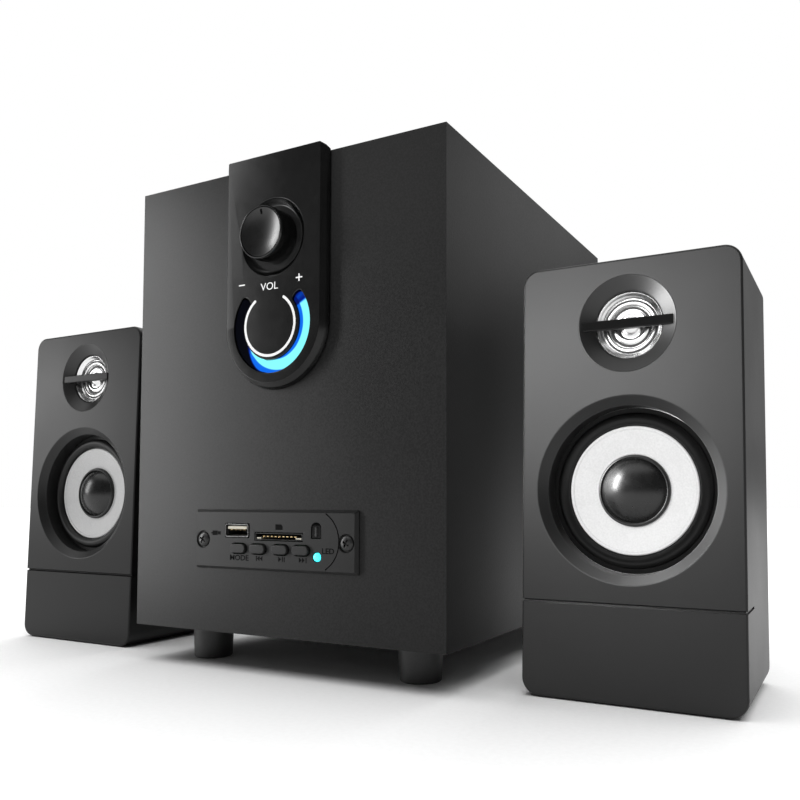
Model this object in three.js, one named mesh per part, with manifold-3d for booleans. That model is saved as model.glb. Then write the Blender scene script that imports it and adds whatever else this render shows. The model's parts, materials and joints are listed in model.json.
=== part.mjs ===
// A set of desktop speakers: a subwoofer box with its controls, and two satellites that lean back a little.
// Millimetres. +X to the listener's right, +Y away from the listener, +Z up, desk at Z = 0.
// While building, X = 0 is the subwoofer's middle and Y = 0 its front face. At the end the whole set is moved
// so that the origin is the bottom centre of its box.
import * as THREE from "three";
import { mergeVertices } from "three/addons/utils/BufferGeometryUtils.js";
import Module from "manifold-3d";

// ---- Driving dimensions ----
const GAP = 0.3; // between pieces that touch on the real object
const FAR = 400; // longer than anything here, for cutting tools
const ROUND = 20; // sides of a large round piece, the same for a piece and the hole it sits in
const SMALL_ROUND = 12; // sides of a small one

const SUB = { width: 165, height: 205.3, depth: 198.5, bottom: 16.75, wall: 9 };
SUB.top = SUB.bottom + SUB.height;
SUB.middle = SUB.bottom + SUB.height / 2;

const FOOT = { x: 57.5, fromFront: 24.6, fromRear: 24.6, bottomRadius: 8.8, topRadius: 9.6 };

const PANEL = {
  proud: 4, // front of the panel, in front of the cabinet
  frontHalfWidth: 25.4,
  bevel: 2.4,
  arcZ: 150.2,
  topFront: 225.1,
  topRear: 222.6,
};
const KNOB = { z: 188.1, radius: 11.6, face: -11.9, recessRadius: 16.8, recessFloor: -1.5, shaftRadius: 3 };
const SLOT = { z: 149.8, inner: 15, outer: 20.8, gapFrom: 42, gapTo: 138 }; // angles in degrees from +X

const MEDIA = { left: -44.5, right: 43.1, low: 44.7, high: 70.8, proud: 1.8, bevel: 1.1 };
const MEDIA_SCREWS = { media_screw_left: -39.4, media_screw_right: 37.9 };
const MEDIA_SCREW = { z: 57.5, headRadius: 3.2, shankRadius: 1.4 };
const USB = { x: -19.6, z: 61.75, width: 13.2, height: 5.7, length: 14 };
const CARD = { x: 3.2, z: 59.45, width: 25.3, height: 3.1, length: 27 };
const INFRARED = { x: 22.9, low: 59.3, high: 65.5, width: 4.6 };
const BUTTONS = { button_mode: -18.6, button_previous: -7.8, button_play: 4.3, button_next: 15.3 };
const BUTTON = { z: 54, width: 8.5, height: 3.9, face: -3.1, clearance: 0.45 };
const LED = { x: 23.3, z: 51.5, radius: 1.8 };

const SATELLITE = { width: 82.84, height: 166, depth: 65.2, bottom: 0.5, corner: 6.5, wall: 3, lean: 0.026 };
const PAD = { inset: 9, thickness: 1.6 }; // let into the satellite's underside
const SATELLITE_PLACES = {
  left: { x: -149.99, y: 17.63 },
  right: { x: 145.775, y: 20.53 },
};
const GROOVE = { z: 36.5, depth: 1.1, halfWidth: 0.7, sideReach: 17 };
const TWEETER = { z: 141.2, radius: 18.4, throat: 12.9, barHalfLength: 17.2, barHalfHeight: 1.85 };
const SATELLITE_WOOFER = {
  z: 78.9,
  chamferRadius: 34.9,
  openingRadius: 31.6,
  chamferDepth: 2.75,
  collarDepth: 9.7,
};
const LEAD_SOCKET = { z: 30, radius: 5 };
const SUB_WOOFER = { y: 95, z: SUB.middle, cutoutRadius: 55 };

const REAR = { recess: 1, panel: 9 };
REAR.face = SUB.depth - REAR.recess; // outer face of the rear panel
const PORT = { z: 181, inner: 20, outer: 23, flange: 28, length: 70 };
const AMP_PLATE = { halfWidth: 57, low: 34, high: 150, thickness: 1.5 };
AMP_PLATE.face = REAR.face + GAP + AMP_PLATE.thickness;
const ROCKER = { x: -34, z: 126, width: 13, height: 19, tilt: 8 };
const BASS = { x: 30, z: 126, radius: 8, length: 11 };
const SOCKETS = { x: 30, z: 72, pitchX: 18, pitchZ: 20, width: 38, height: 40 };
const JACK = { barrelRadius: 4.15, pinRadius: 1.7, length: 8.5 };
const INLET = { x: -34, z: 62, width: 27, height: 20, mouthWidth: 17, mouthHeight: 8.6, pinPitch: 8.6 };

// ---- Materials ----
const material = (color, roughness, metalness = 0) =>
  new THREE.MeshStandardMaterial({ color, roughness, metalness });
const WRAP = material(0x2b2b2c, 0.75);
const SATIN = material(0x333334, 0.5);
const GLOSS = material(0x060607, 0.08);
const MATTE = material(0x1a1a1b, 0.6);
const RUBBER = material(0x101010, 0.8);
const PAPER = material(0xe6e6e4, 0.7);
const BLACK_PAPER = material(0x161616, 0.85);
const CHROME = material(0xd8d8da, 0.12, 1);
const STEEL = material(0x8d8f92, 0.35, 1);
const FERRITE = material(0x3a3a3c, 0.6, 0.3);
const BOARD = material(0x1f5a34, 0.5);
const LIGHT = material(0x2aa8ff, 0.3);
const SMOKED = material(0x141418, 0.1);

// ---- Solids ----
const wasm = await Module();
wasm.setup();

// A closed geometry as a solid, with its faces turned outwards.
function solid(geometry) {
  const bare = geometry.clone();
  bare.deleteAttribute("normal");
  bare.deleteAttribute("uv");
  const merged = mergeVertices(bare, 1e-4);
  const vertProperties = merged.attributes.position.array;
  const triVerts = new Uint32Array(merged.index.array);
  const made = new wasm.Manifold(new wasm.Mesh({ numProp: 3, vertProperties, triVerts }));
  if (made.volume() > 0) return made;
  for (let i = 0; i < triVerts.length; i += 3) {
    [triVerts[i + 1], triVerts[i + 2]] = [triVerts[i + 2], triVerts[i + 1]];
  }
  return new wasm.Manifold(new wasm.Mesh({ numProp: 3, vertProperties, triVerts }));
}

const join = (...geometries) => geometries.map(solid).reduce((whole, piece) => whole.add(piece));
const cut = (whole, ...tools) => tools.map(solid).reduce((left, tool) => left.subtract(tool), whole);

// Adds a named mesh to a group. Its shape is a geometry or a solid.
function add(group, name, shape, look) {
  const { vertProperties, triVerts } = (shape.isBufferGeometry ? solid(shape) : shape).getMesh();
  const indexed = new THREE.BufferGeometry();
  indexed.setAttribute("position", new THREE.BufferAttribute(vertProperties, 3));
  indexed.setIndex(new THREE.BufferAttribute(triVerts, 1));
  const geometry = indexed.toNonIndexed();
  geometry.computeVertexNormals();
  const mesh = new THREE.Mesh(geometry, look);
  mesh.name = name;
  group.add(mesh);
  return mesh;
}

// ---- Plain shapes ----
function block(x0, x1, y0, y1, z0, z1) {
  const geometry = new THREE.BoxGeometry(x1 - x0, y1 - y0, z1 - z0);
  return geometry.translate((x0 + x1) / 2, (y0 + y1) / 2, (z0 + z1) / 2);
}

// A box given by its middle in X and Z, and its two faces in Y.
const brick = (x, z, width, height, y0, y1) =>
  block(x - width / 2, x + width / 2, y0, y1, z - height / 2, z + height / 2);

// An outline in X and Z, extruded from Y = y0 to y1.
function slab(outline, y0, y1, curveSegments = 4) {
  const geometry = new THREE.ExtrudeGeometry(outline, { depth: y1 - y0, bevelEnabled: false, curveSegments });
  return geometry.rotateX(Math.PI / 2).translate(0, y1, 0);
}

// The same, growing by bevel towards the rear, with its front at Y = front and its rear at Y = -GAP.
function bevelledSlab(outline, front, bevel, curveSegments) {
  const thickness = -front - GAP;
  const settings = { depth: 1, bevelSize: bevel, bevelThickness: thickness, bevelSegments: 1, curveSegments };
  const geometry = new THREE.ExtrudeGeometry(outline, settings);
  geometry.rotateX(Math.PI / 2).translate(0, 1 - GAP, 0);
  return cut(solid(geometry), block(-FAR, FAR, -GAP, FAR, -FAR, FAR));
}

// A shape turned about the Y axis, from [radius, y] points. Off the axis, the profile closes on itself.
function turned(profile, segments = ROUND) {
  const points = profile.map(([radius, y]) => new THREE.Vector2(radius, y));
  if (profile[0][0] > 0) points.push(points[0].clone());
  return new THREE.LatheGeometry(points, segments);
}

const rod = (radius, y0, y1, segments = SMALL_ROUND) =>
  turned([[0, y0], [radius, y0], [radius, y1], [0, y1]], segments);

const at = (geometry, x, y, z) => geometry.translate(x, y, z);

// Points on an arc about (middleRadius, middleY), for a turned profile. Angles in degrees.
function arc(middleRadius, middleY, radius, from, to, steps) {
  return Array.from({ length: steps + 1 }, (_, i) => {
    const angle = THREE.MathUtils.degToRad(from + ((to - from) * i) / steps);
    return [middleRadius + radius * Math.cos(angle), middleY + radius * Math.sin(angle)];
  });
}

function roundedRectangle(x0, x1, z0, z1, radius) {
  const outline = new THREE.Shape();
  outline.absarc(x1 - radius, z1 - radius, radius, 0, Math.PI / 2);
  outline.absarc(x0 + radius, z1 - radius, radius, Math.PI / 2, Math.PI);
  outline.absarc(x0 + radius, z0 + radius, radius, Math.PI, 1.5 * Math.PI);
  outline.absarc(x1 - radius, z0 + radius, radius, 1.5 * Math.PI, 2 * Math.PI);
  return outline;
}

const obround = (x, z, width, height) =>
  roundedRectangle(x - width / 2, x + width / 2, z - height / 2, z + height / 2, height / 2 - 0.01);

// A C: a ring sector that leaves out the angles between SLOT.gapFrom and SLOT.gapTo, less a margin all round.
function slotOutline(margin) {
  const inner = SLOT.inner + margin;
  const outer = SLOT.outer - margin;
  const middle = (inner + outer) / 2;
  const start = THREE.MathUtils.degToRad(SLOT.gapTo) + margin / middle;
  const end = THREE.MathUtils.degToRad(SLOT.gapFrom + 360) - margin / middle;
  const outline = new THREE.Shape();
  outline.absarc(0, SLOT.z, outer, start, end, false);
  outline.absarc(0, SLOT.z, inner, end, start, true);
  return outline;
}

// An arch with a flat foot, grown by a margin all round.
function infraredOutline(margin) {
  const { x, low, high, width } = INFRARED;
  const radius = width / 2 + margin;
  const outline = new THREE.Shape();
  outline.moveTo(x - radius, low - margin);
  outline.lineTo(x + radius, low - margin);
  outline.absarc(x, high - width / 2, radius, 0, Math.PI, false);
  outline.closePath();
  return outline;
}

// ---- A cone loudspeaker, front towards -Y, turned about the Y axis ----
// fixed holds what stays with the box, moving what the voice coil drives.
function loudspeaker(fixed, moving, prefix, shape, coneLook) {
  const { basket, motor, surround, cone, dustCap } = shape;
  add(fixed, prefix + "woofer_basket", turned(basket), STEEL);
  add(fixed, prefix + "woofer_motor", turned(motor), FERRITE);
  add(fixed, prefix + "woofer_surround", turned(surround), RUBBER);
  add(moving, prefix + "woofer_cone", turned(cone), coneLook);
  add(moving, prefix + "woofer_dust_cap", turned(dustCap), GLOSS);
}

const SATELLITE_SPEAKER = {
  basket: [[36.5, 10], [36.5, 12], [31, 12], [21, 24.7], [14, 24.7], [14, 23.6], [20, 23.6], [29.5, 10]],
  motor: [
    [0, 22], [11.4, 22], [11.4, 36], [13.3, 36], [13.3, 25], [23, 25], [23, 39], [0, 39],
  ],
  surround: [[31.4, 9.7], [31.4, 9.1], ...arc(27.8, 9.1, 2.6, 0, -180, 4), [24.9, 9.1], [24.9, 9.7],
    ...arc(27.8, 9.7, 2.1, -180, 0, 4)],
  cone: [[24.6, 8.7], [24.6, 9.7], [12.7, 12.2], [12.7, 24], [12, 24], [12, 11], [13.6, 10.8]],
  dustCap: [[0, 10.5], [13.4, 10.5], [13.4, 9.9], [11.8, 9.6], [10, 7.7], [7, 6.1], [3.6, 5.3], [0, 5]],
};

const SUB_FLANGE = [[62, -2.3], [62, -GAP], [52.8, -GAP], [52.8, -2.3]];
const SUB_SPEAKER = {
  basket: [[54.5, 0], [54.5, 8], [33, 35], [21, 35], [21, 33.6], [32, 33.6], [52.8, 7.4], [52.8, 0]],
  motor: [
    [0, 32], [14.6, 32], [14.6, 50], [17.4, 50], [17.4, 35.4], [38, 35.4], [38, 54], [0, 54],
  ],
  surround: [[60, -2.6], [60, -4.2], [55, -4.2], [54.2, -3.4], ...arc(49, -3.4, 4.6, 0, -180, 5), [43, -3.4],
    [43, -2.6], ...arc(49, -2.6, 4, -180, 0, 5)],
  cone: [[42.7, -3.6], [42.7, -2.4], [16.6, 20], [16.6, 36], [15.4, 36], [15.4, 18.7]],
  dustCap: [[0, 15.5], [18.2, 15.5], [17.6, 13.9], [14, 11], [9.5, 9], [5, 8], [0, 7.6]],
};

// ---- Subwoofer box ----
function subCabinet() {
  const half = SUB.width / 2;
  const inside = half - SUB.wall;
  const wall = SUB.wall;
  const shell = solid(block(-half, half, 0, SUB.depth, SUB.bottom, SUB.top));
  const wooferHole = rod(SUB_WOOFER.cutoutRadius, -1, wall + 1, ROUND);
  return cut(
    shell,
    block(-inside, inside, wall, FAR, SUB.bottom + wall, SUB.top - wall),
    at(rod(12, -1, wall + 1), 0, 0, KNOB.z),
    at(rod(21.5, -1, wall + 1, ROUND), 0, 0, SLOT.z),
    block(-36.5, 32, -1, wall + 1, MEDIA.low + 2.5, MEDIA.high - 2.5),
    ...Object.values(MEDIA_SCREWS).map((x) =>
      at(rod(MEDIA_SCREW.shankRadius + GAP, -1, wall + 1), x, 0, MEDIA_SCREW.z),
    ),
    at(wooferHole.rotateZ(-Math.PI / 2), -half, SUB_WOOFER.y, SUB_WOOFER.z),
  );
}

function rearPanel() {
  const inside = SUB.width / 2 - SUB.wall - GAP;
  const low = SUB.bottom + SUB.wall + GAP;
  const high = SUB.top - SUB.wall - GAP;
  const y0 = REAR.face - REAR.panel;
  return cut(
    solid(block(-inside, inside, y0, REAR.face, low, high)),
    at(rod(PORT.outer + GAP, y0 - 1, REAR.face + 1, ROUND), 0, 0, PORT.z),
    block(-50, 50, y0 - 1, REAR.face + 1, AMP_PLATE.low + 7, AMP_PLATE.high - 7),
  );
}

function portTube() {
  const mouth = REAR.face + GAP;
  return turned([
    [PORT.inner, mouth - PORT.length],
    [PORT.outer, mouth - PORT.length],
    [PORT.outer, mouth],
    [PORT.flange, mouth],
    [PORT.flange, mouth + 1],
    [PORT.flange - 1.5, mouth + 2.2],
    [PORT.inner + 4, mouth + 1.6],
    [PORT.inner + 1.2, mouth - 1],
    [PORT.inner, mouth - 6],
  ]);
}

// ---- Control panel with the volume knob ----
function controlPanel() {
  const { frontHalfWidth, arcZ, proud, topFront, topRear, bevel } = PANEL;
  const outline = new THREE.Shape();
  outline.moveTo(frontHalfWidth, topFront + 20);
  outline.lineTo(-frontHalfWidth, topFront + 20);
  outline.absarc(0, arcZ, frontHalfWidth, Math.PI, 2 * Math.PI, false);
  outline.closePath();
  const slope = Math.atan2(topFront - topRear, proud);
  const above = block(-FAR, FAR, -FAR, FAR, 0, FAR).rotateX(-slope).translate(0, 0, topRear);
  const recess = [
    [0, KNOB.recessFloor],
    [KNOB.recessRadius - 2.6, KNOB.recessFloor],
    [KNOB.recessRadius, -proud],
    [KNOB.recessRadius, -proud - 1],
    [0, -proud - 1],
  ];
  return cut(
    bevelledSlab(outline, -proud, bevel, 16),
    above,
    at(turned(recess), 0, 0, KNOB.z),
    at(rod(KNOB.shaftRadius + 0.8, -FAR, FAR), 0, 0, KNOB.z),
    slab(slotOutline(0), -proud - 1, 1, 20),
  );
}

function volumeKnob() {
  const { radius, face, shaftRadius, recessFloor } = KNOB;
  const foot = recessFloor - 0.4;
  const body = turned([
    [0, face + 0.9], [6, face + 0.8], [9.4, face + 0.5], [10.2, face], [11, face], [11.45, face + 0.5],
    [radius, foot], [0, foot],
  ]);
  const bore = rod(shaftRadius + GAP, face + 6, foot + 1);
  const pointer = block(-0.45, 0.45, face - 1, face + 1.3, 5.6, 10.1);
  return cut(solid(body), bore, pointer);
}

function controls(sub, knobBody) {
  add(sub, "control_panel", controlPanel(), GLOSS);
  add(sub, "light_window", slab(slotOutline(GAP), -2.9, -0.6, 20), LIGHT);
  // The volume potentiometer is soldered to the board's rear.
  add(sub, "control_board", cut(
    join(block(-24, 24, 11, 12.6, 128, 206), brick(0, KNOB.z, 17, 17, 12.2, 21)),
    at(rod(KNOB.shaftRadius + GAP, 10, 18), 0, 0, KNOB.z),
  ), BOARD);
  knobBody.position.set(0, 0, KNOB.z);
  add(knobBody, "volume_knob", volumeKnob(), GLOSS);
  add(knobBody, "volume_shaft", rod(KNOB.shaftRadius, KNOB.face + 6.3, 17.5), STEEL);
}

// ---- Media player plate ----
function mediaPlate() {
  const { left, right, low, high, proud, bevel } = MEDIA;
  const face = roundedRectangle(left + bevel, right - bevel, low + bevel, high - bevel, 0.4);
  const { width, height, clearance } = BUTTON;
  return cut(
    bevelledSlab(face, -proud, bevel, 2),
    brick(USB.x, USB.z, USB.width + 2 * GAP, USB.height + 2 * GAP, -3, 1),
    brick(CARD.x, CARD.z, CARD.width + 2 * GAP, CARD.height + 2 * GAP, -3, 1),
    slab(infraredOutline(GAP), -3, 1),
    at(rod(LED.radius + GAP, -3, 1), LED.x, 0, LED.z),
    ...Object.values(BUTTONS).map((x) =>
      slab(obround(x, BUTTON.z, width + 2 * clearance, height + 2 * clearance), -3, 1),
    ),
    ...Object.values(MEDIA_SCREWS).flatMap((x) => [
      at(rod(MEDIA_SCREW.shankRadius + GAP, -3, 1), x, 0, MEDIA_SCREW.z),
      at(rod(MEDIA_SCREW.headRadius + GAP, -3, -1), x, 0, MEDIA_SCREW.z),
    ]),
  );
}

function usbPort() {
  const { x, z, width, height, length } = USB;
  const front = -MEDIA.proud - 0.4;
  const shell = cut(
    solid(brick(x, z, width, height, front, front + length)),
    brick(x, z, width - 1, height - 1, front - 1, front + length - 1),
  );
  return shell.add(solid(brick(x, z + 1, width - 2.6, 1.5, front + 1.2, front + length - 0.5)));
}

function cardSlot() {
  const { x, z, width, height, length } = CARD;
  const front = -MEDIA.proud + 0.1;
  return cut(
    solid(brick(x, z, width, height, front, front + length)),
    brick(x, z, width - 1, height - 1, front - 1, front + length - 2),
  );
}

function mediaScrew() {
  const { headRadius, shankRadius } = MEDIA_SCREW;
  const body = turned([
    [0, -2.3], [1.6, -2.2], [2.7, -1.9], [headRadius, -1.3], [shankRadius, -1.3], [shankRadius, 8], [0, 8],
  ], SMALL_ROUND);
  return cut(solid(body), brick(0, 0, 3.2, 0.8, -3, -1.6), brick(0, 0, 0.8, 3.2, -3, -1.6));
}

function mediaButton() {
  const { width, height, face } = BUTTON;
  return join(
    slab(obround(0, 0, width, height), face, 0.5),
    slab(obround(0, 0, width + 1.6, height + 1.6), 0, 0.9),
  );
}

function mediaPlayer(sub, buttonBodies) {
  add(sub, "media_plate", mediaPlate(), MATTE);
  add(sub, "usb_port", usbPort(), STEEL);
  add(sub, "card_slot", cardSlot(), STEEL);
  add(sub, "ir_window", slab(infraredOutline(0), -1.5, 1.5), SMOKED);
  const lens = turned([
    [0, -2.5], [1.2, -2.3], [LED.radius, -1.6], [LED.radius, 2], [0, 2],
  ], SMALL_ROUND);
  add(sub, "led_lens", at(lens, LED.x, 0, LED.z), LIGHT);
  add(sub, "media_board", cut(
    solid(block(-35, 31, 2.6, 4.2, MEDIA.low + 3, MEDIA.high - 3)),
    brick(USB.x, USB.z, USB.width + 1, USB.height + 1, 2, 5),
    brick(CARD.x, CARD.z, CARD.width + 1, CARD.height + 1, 2, 5),
  ), BOARD);
  for (const [name, x] of Object.entries(MEDIA_SCREWS)) {
    add(sub, name, mediaScrew(), STEEL).position.set(x, 0, MEDIA_SCREW.z);
  }
  for (const [name, x] of Object.entries(BUTTONS)) {
    buttonBodies[name].position.set(x, 0, BUTTON.z);
    add(buttonBodies[name], name, mediaButton(), MATTE);
  }
}

// ---- Amplifier plate on the rear ----
function ampPlate() {
  const { halfWidth, low, high } = AMP_PLATE;
  const y0 = REAR.face + GAP;
  const y1 = AMP_PLATE.face;
  return cut(
    solid(block(-halfWidth, halfWidth, y0, y1, low, high)),
    brick(ROCKER.x, ROCKER.z, ROCKER.width + 4 + 2 * GAP, ROCKER.height + 4 + 2 * GAP, y0 - 1, y1 + 1),
    at(rod(4, y0 - 1, y1 + 1), BASS.x, 0, BASS.z),
    brick(SOCKETS.x, SOCKETS.z, SOCKETS.width + 2 * GAP, SOCKETS.height + 2 * GAP, y0 - 1, y1 + 1),
    brick(INLET.x, INLET.z, INLET.width + 2 * GAP, INLET.height + 2 * GAP, y0 - 1, y1 + 1),
  );
}

// A frame that holds the rocker, with room for it to tip.
function powerSwitch() {
  const y1 = AMP_PLATE.face + 2;
  const { x, z, width, height } = ROCKER;
  return cut(
    solid(brick(x, z, width + 4, height + 4, y1 - 16, y1)),
    brick(x, z, width + 2 * GAP, height + 2.4, y1 - 13, y1 + 1),
  );
}

// A shallow V seen from the side. Its outline's X becomes the height, and Y = 0 is the hinge line.
function powerRocker() {
  const half = ROCKER.height / 2;
  const outline = new THREE.Shape();
  outline.moveTo(-half, 3.4);
  outline.lineTo(0, 1.9);
  outline.lineTo(half, 3.4);
  outline.lineTo(half - 0.8, -2);
  outline.lineTo(3, -5);
  outline.lineTo(-3, -5);
  outline.lineTo(0.8 - half, -2);
  outline.closePath();
  const settings = { depth: ROCKER.width, bevelEnabled: false };
  const geometry = new THREE.ExtrudeGeometry(outline, settings).translate(0, 0, -ROCKER.width / 2);
  return geometry.rotateY(-Math.PI / 2);
}

function socketBlock() {
  const { x, z, width, height, pitchX, pitchZ } = SOCKETS;
  const base = AMP_PLATE.face + 1;
  const corners = [-1, 1].flatMap((i) => [-1, 1].map((k) => [x + (i * pitchX) / 2, z + (k * pitchZ) / 2]));
  const housing = join(
    brick(x, z, width, height, base - 16, base),
    ...corners.map(([cx, cz]) => at(rod(JACK.barrelRadius, base - 1, base + JACK.length), cx, 0, cz)),
  );
  return cut(housing, ...corners.map(([cx, cz]) => at(rod(JACK.pinRadius, base - 6, base + 9), cx, 0, cz)));
}

// A two-pin mains inlet. Its mouth is a flat oval, and the pins stand in it.
function mainsInlet() {
  const { x, z, width, height, mouthWidth, mouthHeight, pinPitch } = INLET;
  const face = AMP_PLATE.face + 1.5;
  const housing = cut(
    solid(brick(x, z, width, height, face - 18, face)),
    slab(obround(x, z, mouthWidth, mouthHeight), face - 12, face + 1),
  );
  return [-1, 1].reduce(
    (whole, side) => whole.add(solid(at(rod(1.2, face - 13, face - 3), x + (side * pinPitch) / 2, 0, z))),
    housing,
  );
}

// An upright iron core with its coil round the middle limb.
function transformer() {
  const low = SUB.bottom + SUB.wall + GAP;
  return join(
    block(-6, 48, 128, 146, low, low + 45),
    block(4, 38, 119, 155, low + 8, low + 37),
    block(-12, 54, 128, 146, low, low + 2),
  );
}

function amplifier(sub, rockerBody, bassBody) {
  add(sub, "amp_plate", ampPlate(), MATTE);
  add(sub, "power_switch", powerSwitch(), MATTE);
  add(sub, "socket_block", socketBlock(), MATTE);
  add(sub, "mains_inlet", mainsInlet(), MATTE);
  add(sub, "transformer", transformer(), STEEL);
  add(sub, "amp_board", block(-48, 48, 168, 169.6, 44, 140), BOARD);
  rockerBody.position.set(ROCKER.x, AMP_PLATE.face + 1, ROCKER.z);
  rockerBody.rotation.x = THREE.MathUtils.degToRad(ROCKER.tilt);
  add(rockerBody, "power_rocker", powerRocker(), GLOSS);
  bassBody.position.set(BASS.x, AMP_PLATE.face + 0.4, BASS.z);
  const dial = turned([
    [0, 0], [BASS.radius, 0], [BASS.radius - 0.4, BASS.length - 0.6], [BASS.radius - 1, BASS.length],
    [0, BASS.length],
  ]);
  const stem = rod(3, -14, 1);
  const pointer = block(-0.5, 0.5, BASS.length - 0.6, BASS.length + 1, 2.5, 6.5);
  add(bassBody, "bass_knob", cut(join(dial, stem), pointer), MATTE);
}

function subwoofer(root, bodies) {
  add(root, "sub_cabinet", subCabinet(), WRAP);
  add(root, "sub_rear_panel", rearPanel(), WRAP);
  add(root, "port_tube", at(portTube(), 0, 0, PORT.z), MATTE);
  for (const [row, y] of [["front", FOOT.fromFront], ["rear", SUB.depth - FOOT.fromRear]]) {
    for (const [side, x] of [["left", -FOOT.x], ["right", FOOT.x]]) {
      const height = SUB.bottom - GAP;
      const foot = new THREE.CylinderGeometry(FOOT.topRadius, FOOT.bottomRadius, height, ROUND);
      add(root, `foot_${row}_${side}`, foot.rotateX(Math.PI / 2), RUBBER).position.set(x, y, height / 2);
    }
  }
  controls(root, bodies.volume);
  mediaPlayer(root, bodies);
  amplifier(root, bodies.rocker, bodies.bass);
  for (const group of [bodies.wooferFixed, bodies.wooferMoving]) {
    group.position.set(-SUB.width / 2, SUB_WOOFER.y, SUB_WOOFER.z);
    group.rotation.z = -Math.PI / 2;
  }
  add(bodies.wooferFixed, "sub_woofer_flange", turned(SUB_FLANGE), STEEL);
  loudspeaker(bodies.wooferFixed, bodies.wooferMoving, "sub_", SUB_SPEAKER, BLACK_PAPER);
}

// ---- Satellites ----
// Shears a geometry so that it leans back: the higher, the further from the listener.
function lean(geometry) {
  const slope = Math.tan(SATELLITE.lean);
  return geometry.applyMatrix4(new THREE.Matrix4().set(1, 0, 0, 0, 0, 1, slope, 0, 0, 0, 1, 0, 0, 0, 0, 1));
}

// A tool turned about Y, put at a height on the leaning front face and square to it.
const onFace = (geometry, z) =>
  geometry.rotateX(-SATELLITE.lean).translate(0, z * Math.tan(SATELLITE.lean), z);

function frontShell() {
  const { width, height, depth, bottom, corner, wall } = SATELLITE;
  const half = width / 2;
  const shell = solid(lean(slab(roundedRectangle(-half, half, bottom, height, corner), 0, depth)));
  const hollow = roundedRectangle(wall - half, half - wall, bottom + wall, height - wall, corner - wall);
  const { openingRadius, chamferRadius, chamferDepth, collarDepth } = SATELLITE_WOOFER;
  const collar = onFace(rod(openingRadius + 4.6, 1, collarDepth, ROUND), SATELLITE_WOOFER.z);
  const inside = cut(solid(lean(slab(hollow, wall, depth + 9, 2))), collar);
  const chamfer = onFace(turned([
    [0, -2], [chamferRadius + 2 * (chamferRadius - openingRadius) / chamferDepth, -2],
    [openingRadius, chamferDepth], [openingRadius, collarDepth + 1], [0, collarDepth + 1],
  ]), SATELLITE_WOOFER.z);
  const { depth: grooveDepth, halfWidth, sideReach } = GROOVE;
  const frontGroove = new THREE.ExtrudeGeometry(
    new THREE.Shape([
      new THREE.Vector2(0, grooveDepth),
      new THREE.Vector2(-halfWidth, -0.01),
      new THREE.Vector2(halfWidth, -0.01),
    ]),
    { depth: width + 2, bevelEnabled: false },
  ).translate(0, 0, -half - 1);
  frontGroove.rotateY(-Math.PI / 2).translate(0, GROOVE.z * Math.tan(SATELLITE.lean), GROOVE.z);
  const sideNotches = [-1, 1].map((side) =>
    lean(brick(side * half, GROOVE.z, 1.4, 1, -1, sideReach)),
  );
  return cut(
    shell.subtract(inside),
    chamfer,
    onFace(rod(TWEETER.radius + GAP, -2, wall + 3, ROUND), TWEETER.z),
    frontGroove,
    ...sideNotches,
    padBlock(GAP),
  );
}

function padBlock(margin) {
  const half = SATELLITE.width / 2 - PAD.inset + margin;
  const front = PAD.inset - margin;
  const rear = SATELLITE.depth - front;
  return block(-half, half, front, rear, 0, PAD.thickness + margin);
}

function rearCover() {
  const { width, height, depth, bottom, corner, wall } = SATELLITE;
  const inset = wall + GAP;
  const half = width / 2 - inset;
  const outline = roundedRectangle(-half, half, bottom + inset, height - inset, corner - wall);
  return cut(
    solid(lean(slab(outline, depth - 4, depth - 1, 2))),
    at(rod(LEAD_SOCKET.radius + GAP, depth - 9, depth + 9), 0, 0, LEAD_SOCKET.z),
  );
}

function tweeterHorn() {
  const { radius, throat, barHalfLength, barHalfHeight } = TWEETER;
  const flare = turned([
    [radius, 0], [radius, 4.6], [15.4, 4.6], [15.4, 9], [throat, 9], [throat, 3.6], [radius - 0.5, 0],
  ]);
  return join(flare, block(-barHalfLength, barHalfLength, 0, 1.5, -barHalfHeight, barHalfHeight));
}

const tweeterDome = () => turned([
  [0, 5.3], [2.4, 5.7], [4.4, 7], [6.2, 7.2], [8.3, 6.4], [10.7, 5.9], [11.1, 6.3], [12.6, 3.9],
  [12.6, 9.3], [0, 9.3],
]);

function satellite(side, body, coneBody) {
  const { x, y } = SATELLITE_PLACES[side];
  const prefix = side + "_";
  const slope = Math.tan(SATELLITE.lean);
  for (const group of [body, coneBody]) group.position.set(x, y, 0);
  add(body, prefix + "front_shell", frontShell(), SATIN);
  add(body, prefix + "rear_cover", rearCover(), MATTE);
  add(body, prefix + "pad", padBlock(0), RUBBER);

  const tweeter = new THREE.Group();
  tweeter.position.set(0, TWEETER.z * slope, TWEETER.z);
  tweeter.rotation.x = -SATELLITE.lean;
  body.add(tweeter);
  add(tweeter, prefix + "tweeter_horn", tweeterHorn(), MATTE);
  add(tweeter, prefix + "tweeter_dome", tweeterDome(), CHROME);

  const { radius } = LEAD_SOCKET;
  const socket = cut(solid(turned([
    [0, -12], [radius, -12], [radius, 0], [radius + 2.5, 0], [radius + 2.5, 1.6],
    [JACK.barrelRadius, 1.6], [JACK.barrelRadius, JACK.length], [0, JACK.length],
  ], SMALL_ROUND)), rod(JACK.pinRadius, -5, 9));
  const rearFace = SATELLITE.depth - 1 + LEAD_SOCKET.z * slope + GAP;
  add(body, prefix + "lead_socket", socket, MATTE).position.set(0, rearFace, LEAD_SOCKET.z);

  const fixed = new THREE.Group();
  const moving = new THREE.Group();
  for (const [group, parent] of [[fixed, body], [moving, coneBody]]) {
    group.position.set(0, SATELLITE_WOOFER.z * slope, SATELLITE_WOOFER.z);
    group.rotation.x = -SATELLITE.lean;
    parent.add(group);
  }
  loudspeaker(fixed, moving, prefix, SATELLITE_SPEAKER, PAPER);
}

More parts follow.
